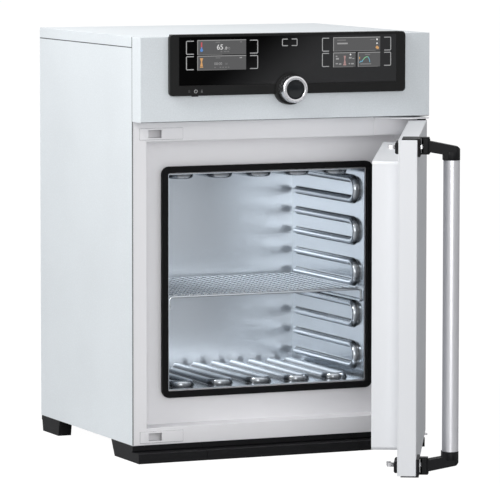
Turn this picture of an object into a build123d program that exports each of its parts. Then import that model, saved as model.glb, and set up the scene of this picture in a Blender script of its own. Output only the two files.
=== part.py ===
"""Bench paraffin oven with natural convection, door open.

Millimetres. +X to the viewer's right, +Y into the cabinet, +Z up. The origin lies on the floor, on
the cabinet's mid-plane, in the plane of the front frame's face. Every door and handle piece is drawn
with the door closed and is then swung open about the hinge line, as in the rest position.
"""
import math
import os

from build123d import *

# Cabinet
CABINET_WIDTH = 585.0
CABINET_TOP = 784.0
CABINET_REAR = 473.0
FOOT_HEIGHT = 30.0
SHEET = 1.5
TOP_COVER_HEIGHT = 20.0
FILL_GAP = 0.2

# Control fascia across the top of the front
FASCIA_DEPTH = 41.0
FASCIA_BOTTOM = 628.0
FRAME_LAP = 12.0
TRAY_DROP = 4.0

# Recess in the front frame that takes the door's plug
RECESS_WIDTH = 528.0
RECESS_HEIGHT = 530.0
RECESS_LIFT = 1.0
RECESS_DEPTH = 50.0
CHAMBER_MID_Z = 325.0

# Chamber
CHAMBER_WIDTH = 400.0
CHAMBER_HEIGHT = 400.0
CHAMBER_DEPTH = 330.0
LIP_PROUD = 3.0
LINER_GAP = 0.2

# Drawn U ribs of the chamber walls
RIB_COUNT = 5
RIB_EDGE_MARGIN = 2.5
RIB_WIDTH = 12.0
RIB_HEIGHT = 11.0
RIB_SHOULDER = 4.0
RIB_BEND_SIDES = 6
RIB_FRONT_MARGIN = 22.0
RIB_REAR_MARGIN = 17.0

# Heating mats and insulation
MAT_THICKNESS = 3.0
MAT_MARGIN = 15.0
TERMINAL_SIZE = 24.0
INSULATION_BACK = 52.0

# Door gasket
GASKET_SIDE_GAP = 3.5
GASKET_WIDTH = 12.0
GASKET_CORNER = 15.0
GASKET_CLOSED_GAP = 0.4

# Door leaf, plug and hinge line
LEAF_THICKNESS = 33.4
LEAF_GAP = 7.6
LEAF_BOTTOM = 29.5
LEAF_HEIGHT = 590.2
PLUG_WIDTH = 510.0
PLUG_HEIGHT = 510.0
PLUG_DEPTH = 47.0
LEAF_BEVEL = 1.0
PLUG_CORNER = 6.0
HINGE_FROM_EDGE = 10.9
HINGE_FROM_FACE = 10.0
DOOR_REST_ANGLE = 62.16

# Hinge hardware
PIN_RADIUS = 5.0
PIN_REACH = 18.7
PIN_CLEARANCE = 0.05
HINGE_BLOCK = 16.0
HINGE_BLOCK_LENGTH = 24.0
HINGE_BLOCK_PROUD = 2.5
HINGE_PLATE = 3.0
HINGE_PLATE_NOSE = 10.0
HINGE_PLAY = 0.3
HINGE_FLANGE_SHEET = 2.0
HINGE_BRACKET_WIDTH = 96.0
HINGE_BRACKET_HEIGHT = 32.5
HINGE_PLATE_TOE = 8.0

# Handle and latch
PIVOT_FROM_EDGE = 46.5
PIVOT_FROM_FACE = 13.0
HANDLE_SWING = 15.6
TUBE_RADIUS = 14.5
TUBE_WALL = 1.5
TUBE_FROM_FACE = 58.5
TUBE_END_DROP = 38.1
HUB_LENGTH = 32.0
HUB_FROM_FACE = 7.0
HUB_OUTER = 19.5
HUB_HEIGHT = 26.0
HUB_TOP_PROUD = 0.3
HUB_CORNER = 5.0
EAR_THICKNESS = 1.8
EAR_GAP = 0.2
EAR_LENGTH = 20.0
ARM_WIDTH = 26.0
ARM_ROOT_TOP_DROP = 1.8
ARM_ROOT_HEIGHT = 20.1
ARM_FALL = 12.2
ELBOW_RADIUS = 9.0
COLLAR_OVERSIZE = 0.4
SPIGOT_LENGTH = 25.0
SPIGOT_PLAY = 0.1
HANDLE_PIN_RADIUS = 3.0
HANDLE_PIN_PLAY = 0.05
PLATE_THICKNESS = 4.4
PLATE_HEIGHT = 29.7
PLATE_LENGTH = 64.5
LIP_THICKNESS = 2.0
LIP_REACH = 27.4

HOOK_THICKNESS = 7.0
HOOK_DROP = 14.9
HOOK_WIDTH = 6.0
HOOK_TIP = 65.5
HOOK_TOE_DEPTH = 8.0
HOOK_TOE_REACH = 17.0
HOOK_EYE = 12.4
CHANNEL_WIDTH = 21.0
CHANNEL_HEIGHT = 9.0
GUIDE_THICKNESS = 6.2
GUIDE_LENGTH = 60.0
GUIDE_HEIGHT = 20.2
GUIDE_FROM_EDGE = 4.5
GUIDE_SLOT = 22.8
GUIDE_BEVEL = 2.0

# Strike plates on the frame's left border
STRIKE_THICKNESS = 1.0
STRIKE_FROM_EDGE = 15.0
STRIKE_LENGTH = 85.5
STRIKE_HEIGHT = 20.6
STRIKE_OPENING_FROM_EDGE = 32.0
STRIKE_OPENING = 26.0
STRIKE_OPENING_HEIGHT = 14.8
POCKET_LENGTH = 55.5
POCKET_DEPTH = 20.0
POCKET_WALL = 1.2
POCKET_START = 3.0
SCREW_HEAD_RADIUS = 3.2
SCREW_HEAD = 0.3
SCREW_SIDES = 10
SCREW_END_MARGIN = 7.0

# Feet
BAR_FRONT = 30.0
BAR_HEIGHT = 18.0
BAR_GROOVE = 1.8
BAR_GROOVE_DEPTH = 4.0
BAR_FACE_SETBACK = 0.3
BAR_REAR_TOP = 107.0
BAR_REAR_BOTTOM = 90.0
CORNER_FOOT_LENGTH = 137.5
FOOT_SEAM = 0.4
REAR_FOOT_DEPTH = 96.0
REAR_FOOT_WIDTH = 26.5
REAR_FOOT_TAPER = 6.0
REAR_FOOT_SETBACK = 3.0
REAR_FOOT_PAD_WIDTH = 60.0
REAR_FOOT_PAD = 9.0

# Control panel
BEZEL_WIDTH = 476.0
BEZEL_BOTTOM = 676.0
BEZEL_THICKNESS = 9.0
BEZEL_OVER_TOP = 4.0
BEZEL_CORNER = 7.0
BEZEL_LIP_REACH = 12.0
BEZEL_BACK = 3.0
GLASS_WIDTH = 440.0
GLASS_BOTTOM = 694.7
GLASS_TOP_MARGIN = 4.5
GLASS_THICKNESS = 3.0
GLASS_INSET = 0.8
GLASS_FIT = 0.3
DISPLAY_WIDTH = 98.0
DISPLAY_HEIGHT = 57.0
DISPLAY_MID_Z = 750.0
LEFT_DISPLAY_X = -135.0
RIGHT_DISPLAY_X = 138.0
DISPLAY_GAP = 0.1

KNOB_X = 1.0
KNOB_Z = 685.0
BOSS_RADIUS = 29.0
BOSS_PROUD = 15.0
RING_RADIUS = 25.0
RING_BORE = 18.0
RING_LENGTH = 21.7
RING_WEB = 3.7
RING_GAP = 0.3
STUB_RADIUS = 6.0
STUB_LENGTH = 6.0
STUB_BORE = 4.3
RING_PLAY = 0.05
BUTTON_PLAY = 0.4
BUTTON_TRAVEL = 1.2
BUTTON_LENGTH = 12.0
PLUNGER_RADIUS = 4.0
PLUNGER_LENGTH = 12.0

POWER_X = -187.0
POWER_LENGTH = 12.0
POWER_WIDTH = 5.0
POWER_HEIGHT = 6.5
POWER_PROUD = 1.5
POWER_TRAVEL = 1.2
POWER_PLAY = 0.3

# Electronics
BOARD_THICKNESS = 1.6
CONTROL_BOARD_WIDTH = 420.0
CONTROL_BOARD_HEIGHT = 70.0
BOARD_STANDOFF = 5.5
STANDOFF_HALF = 4.0
POWER_BOARD_X = 120.0
POWER_BOARD_Y = 330.0
TRANSFORMER_HEIGHT = 42.0
RELAY_HEIGHT = 18.0
POWER_BOARD_WIDTH = 200.0
POWER_BOARD_DEPTH = 130.0
ENCODER_SIZE = 16.0
ENCODER_DEPTH = 9.0
ENCODER_STEM_RADIUS = 2.5

# Exhaust tube, air flap and sensors
EXHAUST_FROM_SIDE = 80.0
EXHAUST_FROM_CEILING = 55.0
EXHAUST_RADIUS = 26.0
DUCT_STEP = 1.0
SPIGOT_START = 1.0
EXHAUST_WALL = 2.0
EXHAUST_PROUD = 20.0
EXHAUST_FIT = 0.1
EXHAUST_FLANGE = 2.0
EXHAUST_FLANGE_WIDTH = 7.0
FLAP_FROM_REAR = 22.0
FLAP_THICKNESS = 1.5
FLAP_PLAY = 0.5
SHAFT_RADIUS = 2.0
SHAFT_PLAY = 0.05
MOTOR_SIZE = 34.0
MOTOR_HEIGHT = 30.0
SENSOR_FROM_SIDE = 40.0
SENSOR_RADIUS = 2.0
SENSOR_FIT = 0.1
SENSOR_LENGTH = 60.0
SENSOR_HEAD_RADIUS = 7.0
SENSOR_HEAD = 8.0

# Rear side
INLET_X = 205.0
INLET_Z = 700.0
INLET_WIDTH = 48.0
INLET_HEIGHT = 28.0
INLET_FLANGE = 3.0
INLET_BODY_WIDTH = 28.0
INLET_BODY_HEIGHT = 20.0
INLET_BODY_DEPTH = 24.0
INLET_CAVITY_DEPTH = 16.0
INLET_WALL = 2.0
BLADE_SPACING = 7.0
BLADE_LIFT = 2.0
VENT_COLUMNS = 12
VENT_LENGTH = 7.0
VENT_HEIGHT = 70.0
VENT_PITCH_X = 15.0
VENT_Z = 700.0
VENT_X = -60.0
REAR_SCREW_RADIUS = 4.0
REAR_SCREW_HEAD = 2.4
REAR_SCREW_INSET = 12.0

# Shelf
SHELF_WIRE = 2.5
HOOP_WIRE = 2.3
SHELF_SIDE_GAP = 1.0
SHELF_FRONT_SETBACK = 3.5
SHELF_DEPTH = 305.0
SHELF_RISE = 22.0
SHELF_RIB = 1
SHELF_REST_GAP = 0.3
SHELF_BEND = 6.0
GRID_WIRE = 1.25
WIRE_SIDES = 6
GRID_LONG_COUNT = 25
GRID_CROSS_COUNT = 19
GRID_SIDE_MARGIN = 9.0

# Derived places
HALF = CABINET_WIDTH / 2
INNER_HALF = HALF - SHEET - FILL_GAP
PANEL_TOP = CABINET_TOP - TOP_COVER_HEIGHT
CHAMBER_FRONT = RECESS_DEPTH - LIP_PROUD
CHAMBER_REAR = CHAMBER_FRONT + CHAMBER_DEPTH
LINER_HALF_WIDTH = CHAMBER_WIDTH / 2 + SHEET
LINER_HALF_HEIGHT = CHAMBER_HEIGHT / 2 + SHEET
RECESS_BOTTOM = CHAMBER_MID_Z - RECESS_HEIGHT / 2 + RECESS_LIFT
RECESS_TOP = RECESS_BOTTOM + RECESS_HEIGHT
LEAF_INNER = -LEAF_GAP
LEAF_OUTER = LEAF_INNER - LEAF_THICKNESS
LEAF_TOP = LEAF_BOTTOM + LEAF_HEIGHT
LEAF_MID_Z = (LEAF_BOTTOM + LEAF_TOP) / 2
LEAF_EDGE = -HALF
PLUG_FACE = LEAF_INNER + PLUG_DEPTH
HINGE_X = HALF - HINGE_FROM_EDGE
HINGE_Y = LEAF_OUTER + HINGE_FROM_FACE
PIVOT_X = LEAF_EDGE + PIVOT_FROM_EDGE
PIVOT_Y = LEAF_OUTER - PIVOT_FROM_FACE
HOOK_MID_Z = LEAF_TOP - HOOK_DROP
SPIGOT_RADIUS = TUBE_RADIUS - TUBE_WALL - SPIGOT_PLAY
TRAY_Z = FASCIA_BOTTOM - TRAY_DROP
INSULATION_REAR = CHAMBER_REAR + INSULATION_BACK
EXHAUST_X = EXHAUST_FROM_SIDE - CHAMBER_WIDTH / 2
EXHAUST_Z = CHAMBER_MID_Z + CHAMBER_HEIGHT / 2 - EXHAUST_FROM_CEILING
DUCT_RADIUS = EXHAUST_RADIUS - DUCT_STEP
SENSOR_X = SENSOR_FROM_SIDE - CHAMBER_WIDTH / 2
SENSOR_Z = CHAMBER_MID_Z
BEZEL_FRONT = -FASCIA_DEPTH - BEZEL_THICKNESS
BOSS_FRONT = -FASCIA_DEPTH - BOSS_PROUD
FLAP_Y = CABINET_REAR - FLAP_FROM_REAR
RIB_PITCH_TALL = (CHAMBER_HEIGHT - 2 * RIB_EDGE_MARGIN) / RIB_COUNT
RIB_PITCH_WIDE = (CHAMBER_WIDTH - 2 * RIB_EDGE_MARGIN) / RIB_COUNT
SHELF_RIB_Z = CHAMBER_MID_Z - SHELF_RIB * RIB_PITCH_TALL + RIB_PITCH_TALL / 4 + RIB_WIDTH / 2
SHELF_RAIL_Z = SHELF_RIB_Z + SHELF_REST_GAP + SHELF_WIRE
SHELF_TOP_Z = SHELF_RAIL_Z + SHELF_RISE
SHELF_X = CHAMBER_WIDTH / 2 - SHELF_SIDE_GAP - SHELF_WIRE
SHELF_Y = CHAMBER_FRONT + SHELF_FRONT_SETBACK + SHELF_WIRE


def block(x0, x1, y0, y1, z0, z1):
    """A box between two corners."""
    centre = Pos((x0 + x1) / 2, (y0 + y1) / 2, (z0 + z1) / 2)
    return centre * Box(x1 - x0, y1 - y0, z1 - z0)


def rod_x(x0, x1, y, z, radius):
    """A round bar along X."""
    return Pos((x0 + x1) / 2, y, z) * Rot(0, 90, 0) * Cylinder(radius, x1 - x0)


def rod_y(x, y0, y1, z, radius):
    """A round bar along Y."""
    return Pos(x, (y0 + y1) / 2, z) * Rot(90, 0, 0) * Cylinder(radius, y1 - y0)


def rod_z(x, y, z0, z1, radius):
    """A round bar along Z."""
    return Pos(x, y, (z0 + z1) / 2) * Cylinder(radius, z1 - z0)


def front_slab(outline, y0, y1, x=0.0, z=0.0):
    """An outline drawn in the front view, extruded from y0 back to y1."""
    plane = Plane(origin=(x, y1, z), x_dir=(1, 0, 0), z_dir=(0, -1, 0))
    return extrude(plane * outline, y1 - y0)


def side_slab(points, x0, x1):
    """An outline of (y, z) points drawn in the side view, extruded from x0 to x1."""
    plane = Plane(origin=(x0, 0, 0), x_dir=(0, 1, 0), z_dir=(1, 0, 0))
    return extrude(plane * Polygon(*points, align=None), x1 - x0, dir=plane.z_dir)


def top_slab(points, z0, z1):
    """An outline of (x, y) points drawn in the top view, extruded from z0 up to z1."""
    return extrude(Plane.XY.offset(z0) * Polygon(*points, align=None), z1 - z0, dir=(0, 0, 1))


def group(solids):
    """Several separate solids in one sub-part."""
    return Compound(children=list(solids))


def swing_open(solid):
    """Carry a piece from the closed door to the open rest position."""
    return Pos(HINGE_X, HINGE_Y, 0) * Rot(0, 0, DOOR_REST_ANGLE) * Pos(-HINGE_X, -HINGE_Y, 0) * solid


def release(solid):
    """Turn a handle piece from straight out to the released position."""
    turn = Rot(0, 0, HANDLE_SWING / 2)
    return Pos(PIVOT_X, PIVOT_Y, 0) * turn * Pos(-PIVOT_X, -PIVOT_Y, 0) * solid


def at_bottom(solid):
    """The lower twin of a piece at the top of the door."""
    return mirror(solid, about=Plane.XY.offset(LEAF_MID_Z))


# Housing


def side_panel(side):
    x0, x1 = sorted((side * HALF, side * (HALF - SHEET)))
    return block(x0, x1, 0, CABINET_REAR, FOOT_HEIGHT, PANEL_TOP)


def top_cover():
    shell = block(-HALF, HALF, 0, CABINET_REAR, PANEL_TOP, CABINET_TOP)
    hollow = block(
        SHEET - HALF, HALF - SHEET, -SHEET, CABINET_REAR - SHEET, PANEL_TOP - 1, CABINET_TOP - SHEET
    )
    return shell - hollow


def base_plate():
    front = SHEET + FILL_GAP
    return block(
        -INNER_HALF, INNER_HALF, front, CABINET_REAR - front, FOOT_HEIGHT, FOOT_HEIGHT + SHEET
    )


def vent_slots():
    """A row of upright slots at the electronics' height."""
    slots = []
    for column in range(VENT_COLUMNS):
        x = VENT_X + (column - (VENT_COLUMNS - 1) / 2) * VENT_PITCH_X
        slot = Rectangle(VENT_LENGTH, VENT_HEIGHT)
        slots.append(front_slab(slot, CABINET_REAR - 2 * SHEET, CABINET_REAR + SHEET, x, VENT_Z))
    return slots


def rear_screw_places():
    x = INNER_HALF - REAR_SCREW_INSET
    low = FOOT_HEIGHT + SHEET + REAR_SCREW_INSET
    high = PANEL_TOP - REAR_SCREW_INSET
    middle = (low + high) / 2
    return [(side * x, z) for side in (-1, 1) for z in (low, middle, high)]


def rear_panel():
    back = CABINET_REAR
    panel = block(-INNER_HALF, INNER_HALF, back - SHEET, back, FOOT_HEIGHT + SHEET, PANEL_TOP)
    panel -= vent_slots()
    panel -= rod_y(EXHAUST_X, back - 2 * SHEET, back + SHEET, EXHAUST_Z, EXHAUST_RADIUS + EXHAUST_FIT)
    panel -= front_slab(
        Rectangle(INLET_BODY_WIDTH, INLET_BODY_HEIGHT), back - 2 * SHEET, back + SHEET, INLET_X, INLET_Z
    )
    return panel


def rear_screws():
    heads = []
    for x, z in rear_screw_places():
        outline = RegularPolygon(REAR_SCREW_RADIUS, SCREW_SIDES)
        heads.append(front_slab(outline, CABINET_REAR, CABINET_REAR + REAR_SCREW_HEAD, x, z))
    return group(heads)


def strike_box(y0, y1, margin):
    """The space behind one upper strike plate, grown by a margin."""
    x0 = LEAF_EDGE + STRIKE_OPENING_FROM_EDGE - POCKET_START - margin
    half = STRIKE_OPENING_HEIGHT / 2 + POCKET_WALL + margin
    return block(x0, x0 + POCKET_LENGTH + 2 * margin, y0, y1, HOOK_MID_Z - half, HOOK_MID_Z + half)


def frame_screw_places():
    """Screw places (x, z) on the upper strike plate and the upper hinge bracket."""
    strike_left = LEAF_EDGE + STRIKE_FROM_EDGE + SCREW_END_MARGIN
    strike_right = LEAF_EDGE + STRIKE_FROM_EDGE + STRIKE_LENGTH - SCREW_END_MARGIN
    hinge_z = hinge_plate_z() - HINGE_BRACKET_HEIGHT / 2
    hinge_left = HALF - HINGE_BRACKET_WIDTH + 2 * SCREW_END_MARGIN
    hinge_right = HALF - 2 * SCREW_END_MARGIN
    return [
        (strike_left, HOOK_MID_Z, STRIKE_THICKNESS),
        (strike_right, HOOK_MID_Z, STRIKE_THICKNESS),
        (hinge_left, hinge_z, HINGE_FLANGE_SHEET),
        (hinge_right, hinge_z, HINGE_FLANGE_SHEET),
    ]


def front_frame():
    plate = block(SHEET - HALF, HALF - SHEET, 0, SHEET, FOOT_HEIGHT, FASCIA_BOTTOM + FRAME_LAP)
    half = RECESS_WIDTH / 2
    tub = block(
        -half - SHEET, half + SHEET, 0, RECESS_DEPTH + SHEET, RECESS_BOTTOM - SHEET, RECESS_TOP + SHEET
    )
    frame = plate + tub
    frame -= block(-half, half, -SHEET, RECESS_DEPTH, RECESS_BOTTOM, RECESS_TOP)
    wide = LINER_HALF_WIDTH + LINER_GAP
    tall = LINER_HALF_HEIGHT + LINER_GAP
    frame -= block(
        -wide, wide, RECESS_DEPTH - 1, RECESS_DEPTH + 2 * SHEET, CHAMBER_MID_Z - tall, CHAMBER_MID_Z + tall
    )
    cut = strike_box(-SHEET, 2 * SHEET, FILL_GAP)
    frame -= cut
    return frame - at_bottom(cut)


def frame_screws():
    heads = []
    for x, z, seat in frame_screw_places():
        outline = RegularPolygon(SCREW_HEAD_RADIUS, SCREW_SIDES)
        head = front_slab(outline, -seat - SCREW_HEAD, -seat, x, z)
        heads.extend([head, at_bottom(head)])
    return group(heads)


def strike_plate():
    x0 = LEAF_EDGE + STRIKE_FROM_EDGE
    half = STRIKE_HEIGHT / 2
    plate = block(x0, x0 + STRIKE_LENGTH, -STRIKE_THICKNESS, 0, HOOK_MID_Z - half, HOOK_MID_Z + half)
    plate += strike_box(0, POCKET_DEPTH, 0)
    plate -= strike_box(-STRIKE_THICKNESS / 2, POCKET_DEPTH - POCKET_WALL, -POCKET_WALL) - block(
        x0, x0 + STRIKE_LENGTH, -STRIKE_THICKNESS, 0, HOOK_MID_Z - half, HOOK_MID_Z + half
    )
    opening = LEAF_EDGE + STRIKE_OPENING_FROM_EDGE
    tall = STRIKE_OPENING_HEIGHT / 2
    plate -= block(
        opening, opening + STRIKE_OPENING, -2 * STRIKE_THICKNESS, POCKET_DEPTH / 2,
        HOOK_MID_Z - tall, HOOK_MID_Z + tall,
    )
    return plate


def door_gasket():
    half_x = LINER_HALF_WIDTH + GASKET_SIDE_GAP - SHEET
    half_z = LINER_HALF_HEIGHT + GASKET_SIDE_GAP - SHEET
    front = PLUG_FACE + GASKET_CLOSED_GAP
    outer = RectangleRounded(2 * (half_x + GASKET_WIDTH), 2 * (half_z + GASKET_WIDTH), GASKET_CORNER)
    inner = RectangleRounded(2 * half_x, 2 * half_z, GASKET_CORNER - GASKET_WIDTH)
    return front_slab(outer - inner, front, RECESS_DEPTH, 0, CHAMBER_MID_Z)


# Chamber


def wall_planes():
    """Each wall's plane: local X runs back from the mouth, local Z points into the chamber."""
    wide = CHAMBER_WIDTH / 2
    tall = CHAMBER_HEIGHT / 2
    y = CHAMBER_FRONT
    return {
        "left": Plane((-wide, y, CHAMBER_MID_Z), (0, 1, 0), (1, 0, 0)),
        "right": Plane((wide, y, CHAMBER_MID_Z), (0, 1, 0), (-1, 0, 0)),
        "floor": Plane((0, y, CHAMBER_MID_Z - tall), (0, 1, 0), (0, 0, 1)),
        "ceiling": Plane((0, y, CHAMBER_MID_Z + tall), (0, 1, 0), (0, 0, -1)),
    }


def u_rib(pitch):
    """One drawn rib: two straight beads half a pitch apart, joined by a round end at the front."""
    leg = pitch / 4
    bend_x = RIB_FRONT_MARGIN + RIB_WIDTH / 2 + leg
    end_x = CHAMBER_DEPTH - RIB_REAR_MARGIN
    half = RIB_WIDTH / 2
    crest = half - RIB_SHOULDER
    flank = RIB_HEIGHT - RIB_SHOULDER
    corners = []
    for index in range(RIB_BEND_SIDES + 1):
        angle = math.radians(90 + 180 * index / RIB_BEND_SIDES)
        corners.append((bend_x + leg * math.cos(angle), leg * math.sin(angle)))
    path = Polyline((end_x, leg), *corners, (end_x, -leg))
    outline = Polygon(
        (-half, 0), (half, 0), (half, flank), (crest, RIB_HEIGHT), (-crest, RIB_HEIGHT), (-half, flank),
        align=None,
    )
    section = Plane(origin=(end_x, leg, 0), x_dir=(0, 1, 0), z_dir=(1, 0, 0)) * outline
    return sweep(section, path, transition=Transition.RIGHT)


def ribbed_wall(plane, half_width, pitch):
    """A chamber wall with its row of U ribs."""
    wall = Pos(CHAMBER_DEPTH / 2, 0, -SHEET / 2) * Box(CHAMBER_DEPTH, 2 * half_width, SHEET)
    rib = u_rib(pitch)
    for index in range(RIB_COUNT):
        wall += Pos(0, (index - (RIB_COUNT - 1) / 2) * pitch, 0) * rib
    return plane * wall


def chamber_back_wall():
    """The flat back wall with the exhaust tube welded on."""
    wall = block(
        -LINER_HALF_WIDTH, LINER_HALF_WIDTH, CHAMBER_REAR, CHAMBER_REAR + SHEET,
        CHAMBER_MID_Z - LINER_HALF_HEIGHT, CHAMBER_MID_Z + LINER_HALF_HEIGHT,
    )
    wall += exhaust_tube()
    wall -= rod_y(
        EXHAUST_X, CHAMBER_REAR - 1, CHAMBER_REAR + 2 * SHEET, EXHAUST_Z, EXHAUST_RADIUS - EXHAUST_WALL
    )
    wall -= rod_y(
        SENSOR_X, CHAMBER_REAR - 1, CHAMBER_REAR + 2 * SHEET, SENSOR_Z, SENSOR_RADIUS + SENSOR_FIT
    )
    return wall


def heating_mat(plane, half_width):
    """A flat heating mat pressed on the outside of a wall, with its terminal block."""
    length = CHAMBER_DEPTH - 2 * MAT_MARGIN
    low = -SHEET - MAT_THICKNESS
    mat = Pos(CHAMBER_DEPTH / 2, 0, low + MAT_THICKNESS / 2) * Box(
        length, 2 * (half_width - MAT_MARGIN), MAT_THICKNESS
    )
    terminal = Pos(CHAMBER_DEPTH - MAT_MARGIN - TERMINAL_SIZE / 2, 0, low - MAT_THICKNESS) * Box(
        TERMINAL_SIZE, TERMINAL_SIZE, 2 * MAT_THICKNESS
    )
    return plane * (mat + terminal)


def insulation_jacket():
    front = RECESS_DEPTH + SHEET + FILL_GAP
    jacket = block(
        -INNER_HALF, INNER_HALF, front, INSULATION_REAR,
        FOOT_HEIGHT + SHEET + FILL_GAP, TRAY_Z - SHEET - FILL_GAP,
    )
    wide = LINER_HALF_WIDTH + MAT_THICKNESS + FILL_GAP
    tall = LINER_HALF_HEIGHT + MAT_THICKNESS + FILL_GAP
    deep = CHAMBER_REAR + SHEET + FILL_GAP
    jacket -= block(-wide, wide, front - 1, deep, CHAMBER_MID_Z - tall, CHAMBER_MID_Z + tall)
    for x, z, radius in ((EXHAUST_X, EXHAUST_Z, EXHAUST_RADIUS), (SENSOR_X, SENSOR_Z, SENSOR_RADIUS)):
        half = radius + FILL_GAP
        jacket -= block(x - half, x + half, CHAMBER_REAR, INSULATION_REAR + 1, z - half, z + half)
    pad = TERMINAL_SIZE / 2 + FILL_GAP
    rear = CHAMBER_REAR - MAT_MARGIN + FILL_GAP
    depth = 2 * MAT_THICKNESS + FILL_GAP
    start = rear - TERMINAL_SIZE - 2 * FILL_GAP
    for side in (-1, 1):
        x0, x1 = sorted((side * wide, side * (wide + depth)))
        jacket -= block(x0, x1, start, rear, CHAMBER_MID_Z - pad, CHAMBER_MID_Z + pad)
        z0, z1 = sorted((CHAMBER_MID_Z + side * tall, CHAMBER_MID_Z + side * (tall + depth)))
        jacket -= block(-pad, pad, start, rear, z0, z1)
    return jacket


def exhaust_tube():
    """The tube that leads from the chamber out through the rear panel."""
    end = CABINET_REAR + EXHAUST_PROUD
    tube = rod_y(EXHAUST_X, CHAMBER_REAR + SHEET / 2, end, EXHAUST_Z, DUCT_RADIUS)
    tube += rod_y(EXHAUST_X, CABINET_REAR + SPIGOT_START, end, EXHAUST_Z, EXHAUST_RADIUS)
    seat = CABINET_REAR - SHEET
    flange = 2 * (EXHAUST_RADIUS + EXHAUST_FLANGE_WIDTH)
    tube += front_slab(Rectangle(flange, flange), seat - EXHAUST_FLANGE, seat, EXHAUST_X, EXHAUST_Z)
    tube -= rod_y(EXHAUST_X, CHAMBER_REAR, end + 1, EXHAUST_Z, EXHAUST_RADIUS - EXHAUST_WALL)
    top = EXHAUST_Z + DUCT_RADIUS + 1
    return tube - rod_z(EXHAUST_X, FLAP_Y, EXHAUST_Z, top, SHAFT_RADIUS + SHAFT_PLAY)


def air_flap():
    """Disc on an upright shaft that hangs from the motor."""
    radius = EXHAUST_RADIUS - EXHAUST_WALL - FLAP_PLAY
    half = FLAP_THICKNESS / 2
    disc = rod_y(EXHAUST_X, FLAP_Y - half, FLAP_Y + half, EXHAUST_Z, radius)
    top = EXHAUST_Z + DUCT_RADIUS + MOTOR_HEIGHT / 2
    return disc + rod_z(EXHAUST_X, FLAP_Y, EXHAUST_Z + radius / 2, top, SHAFT_RADIUS)


def flap_motor():
    half = MOTOR_SIZE / 2
    z0 = EXHAUST_Z + DUCT_RADIUS
    motor = block(
        EXHAUST_X - half, EXHAUST_X + half, FLAP_Y - half, FLAP_Y + half, z0, z0 + MOTOR_HEIGHT
    )
    return motor - rod_z(EXHAUST_X, FLAP_Y, z0 - 1, z0 + MOTOR_HEIGHT, SHAFT_RADIUS + SHAFT_PLAY)


def temperature_sensor():
    """Probe through the back wall, with a hexagonal gland behind the wool."""
    probe = rod_y(SENSOR_X, CHAMBER_REAR - SENSOR_LENGTH, INSULATION_REAR, SENSOR_Z, SENSOR_RADIUS)
    gland = RegularPolygon(SENSOR_HEAD_RADIUS, 6)
    return probe + front_slab(gland, INSULATION_REAR, INSULATION_REAR + SENSOR_HEAD, SENSOR_X, SENSOR_Z)


# Upper compartment


def electronics_tray():
    front = SHEET + FILL_GAP
    return block(-INNER_HALF, INNER_HALF, front, CABINET_REAR - front, TRAY_Z - SHEET, TRAY_Z)


def power_board():
    """Mains board with its transformer, relays and capacitors, on four standoffs."""
    half_x = POWER_BOARD_WIDTH / 2
    half_y = POWER_BOARD_DEPTH / 2
    z = TRAY_Z + BOARD_STANDOFF
    top = z + BOARD_THICKNESS
    board = block(
        POWER_BOARD_X - half_x, POWER_BOARD_X + half_x,
        POWER_BOARD_Y - half_y, POWER_BOARD_Y + half_y, z, top,
    )
    for sx in (-1, 1):
        for sy in (-1, 1):
            x = POWER_BOARD_X + sx * (half_x - 2 * STANDOFF_HALF)
            y = POWER_BOARD_Y + sy * (half_y - 2 * STANDOFF_HALF)
            board += block(
                x - STANDOFF_HALF, x + STANDOFF_HALF, y - STANDOFF_HALF, y + STANDOFF_HALF, TRAY_Z, z
            )
    transformer = (0.30, 0.50, TRANSFORMER_HEIGHT)
    relay = (0.12, 0.25, RELAY_HEIGHT)
    for place, part in ((-0.5, transformer), (0.05, relay), (0.35, relay), (0.65, relay)):
        x = POWER_BOARD_X + place * half_x
        wide = part[0] * half_x
        deep = part[1] * half_y
        board += block(x - wide, x + wide, POWER_BOARD_Y - deep, POWER_BOARD_Y + deep, top, top + part[2])
    return board


def control_fascia():
    box = block(-HALF, HALF, -FASCIA_DEPTH, 0, FASCIA_BOTTOM, CABINET_TOP)
    box -= block(
        SHEET - HALF, HALF - SHEET, SHEET - FASCIA_DEPTH, SHEET,
        FASCIA_BOTTOM + SHEET, CABINET_TOP - SHEET,
    )
    return box - rod_y(KNOB_X, -FASCIA_DEPTH - SHEET, 2 * SHEET - FASCIA_DEPTH, KNOB_Z, STUB_BORE)


def control_board():
    """Display and key board behind the fascia's front sheet."""
    back = SHEET - FASCIA_DEPTH
    y = back + BOARD_STANDOFF
    half_x = CONTROL_BOARD_WIDTH / 2
    half_z = CONTROL_BOARD_HEIGHT / 2
    z = DISPLAY_MID_Z - STANDOFF_HALF
    board = block(-half_x, half_x, y, y + BOARD_THICKNESS, z - half_z, z + half_z)
    for sx in (-1, 1):
        for sz in (-1, 1):
            place_x = sx * (half_x - 2 * STANDOFF_HALF)
            place_z = z + sz * (half_z - 2 * STANDOFF_HALF)
            board += front_slab(Rectangle(2 * STANDOFF_HALF, 2 * STANDOFF_HALF), back, y, place_x, place_z)
    return board


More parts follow.
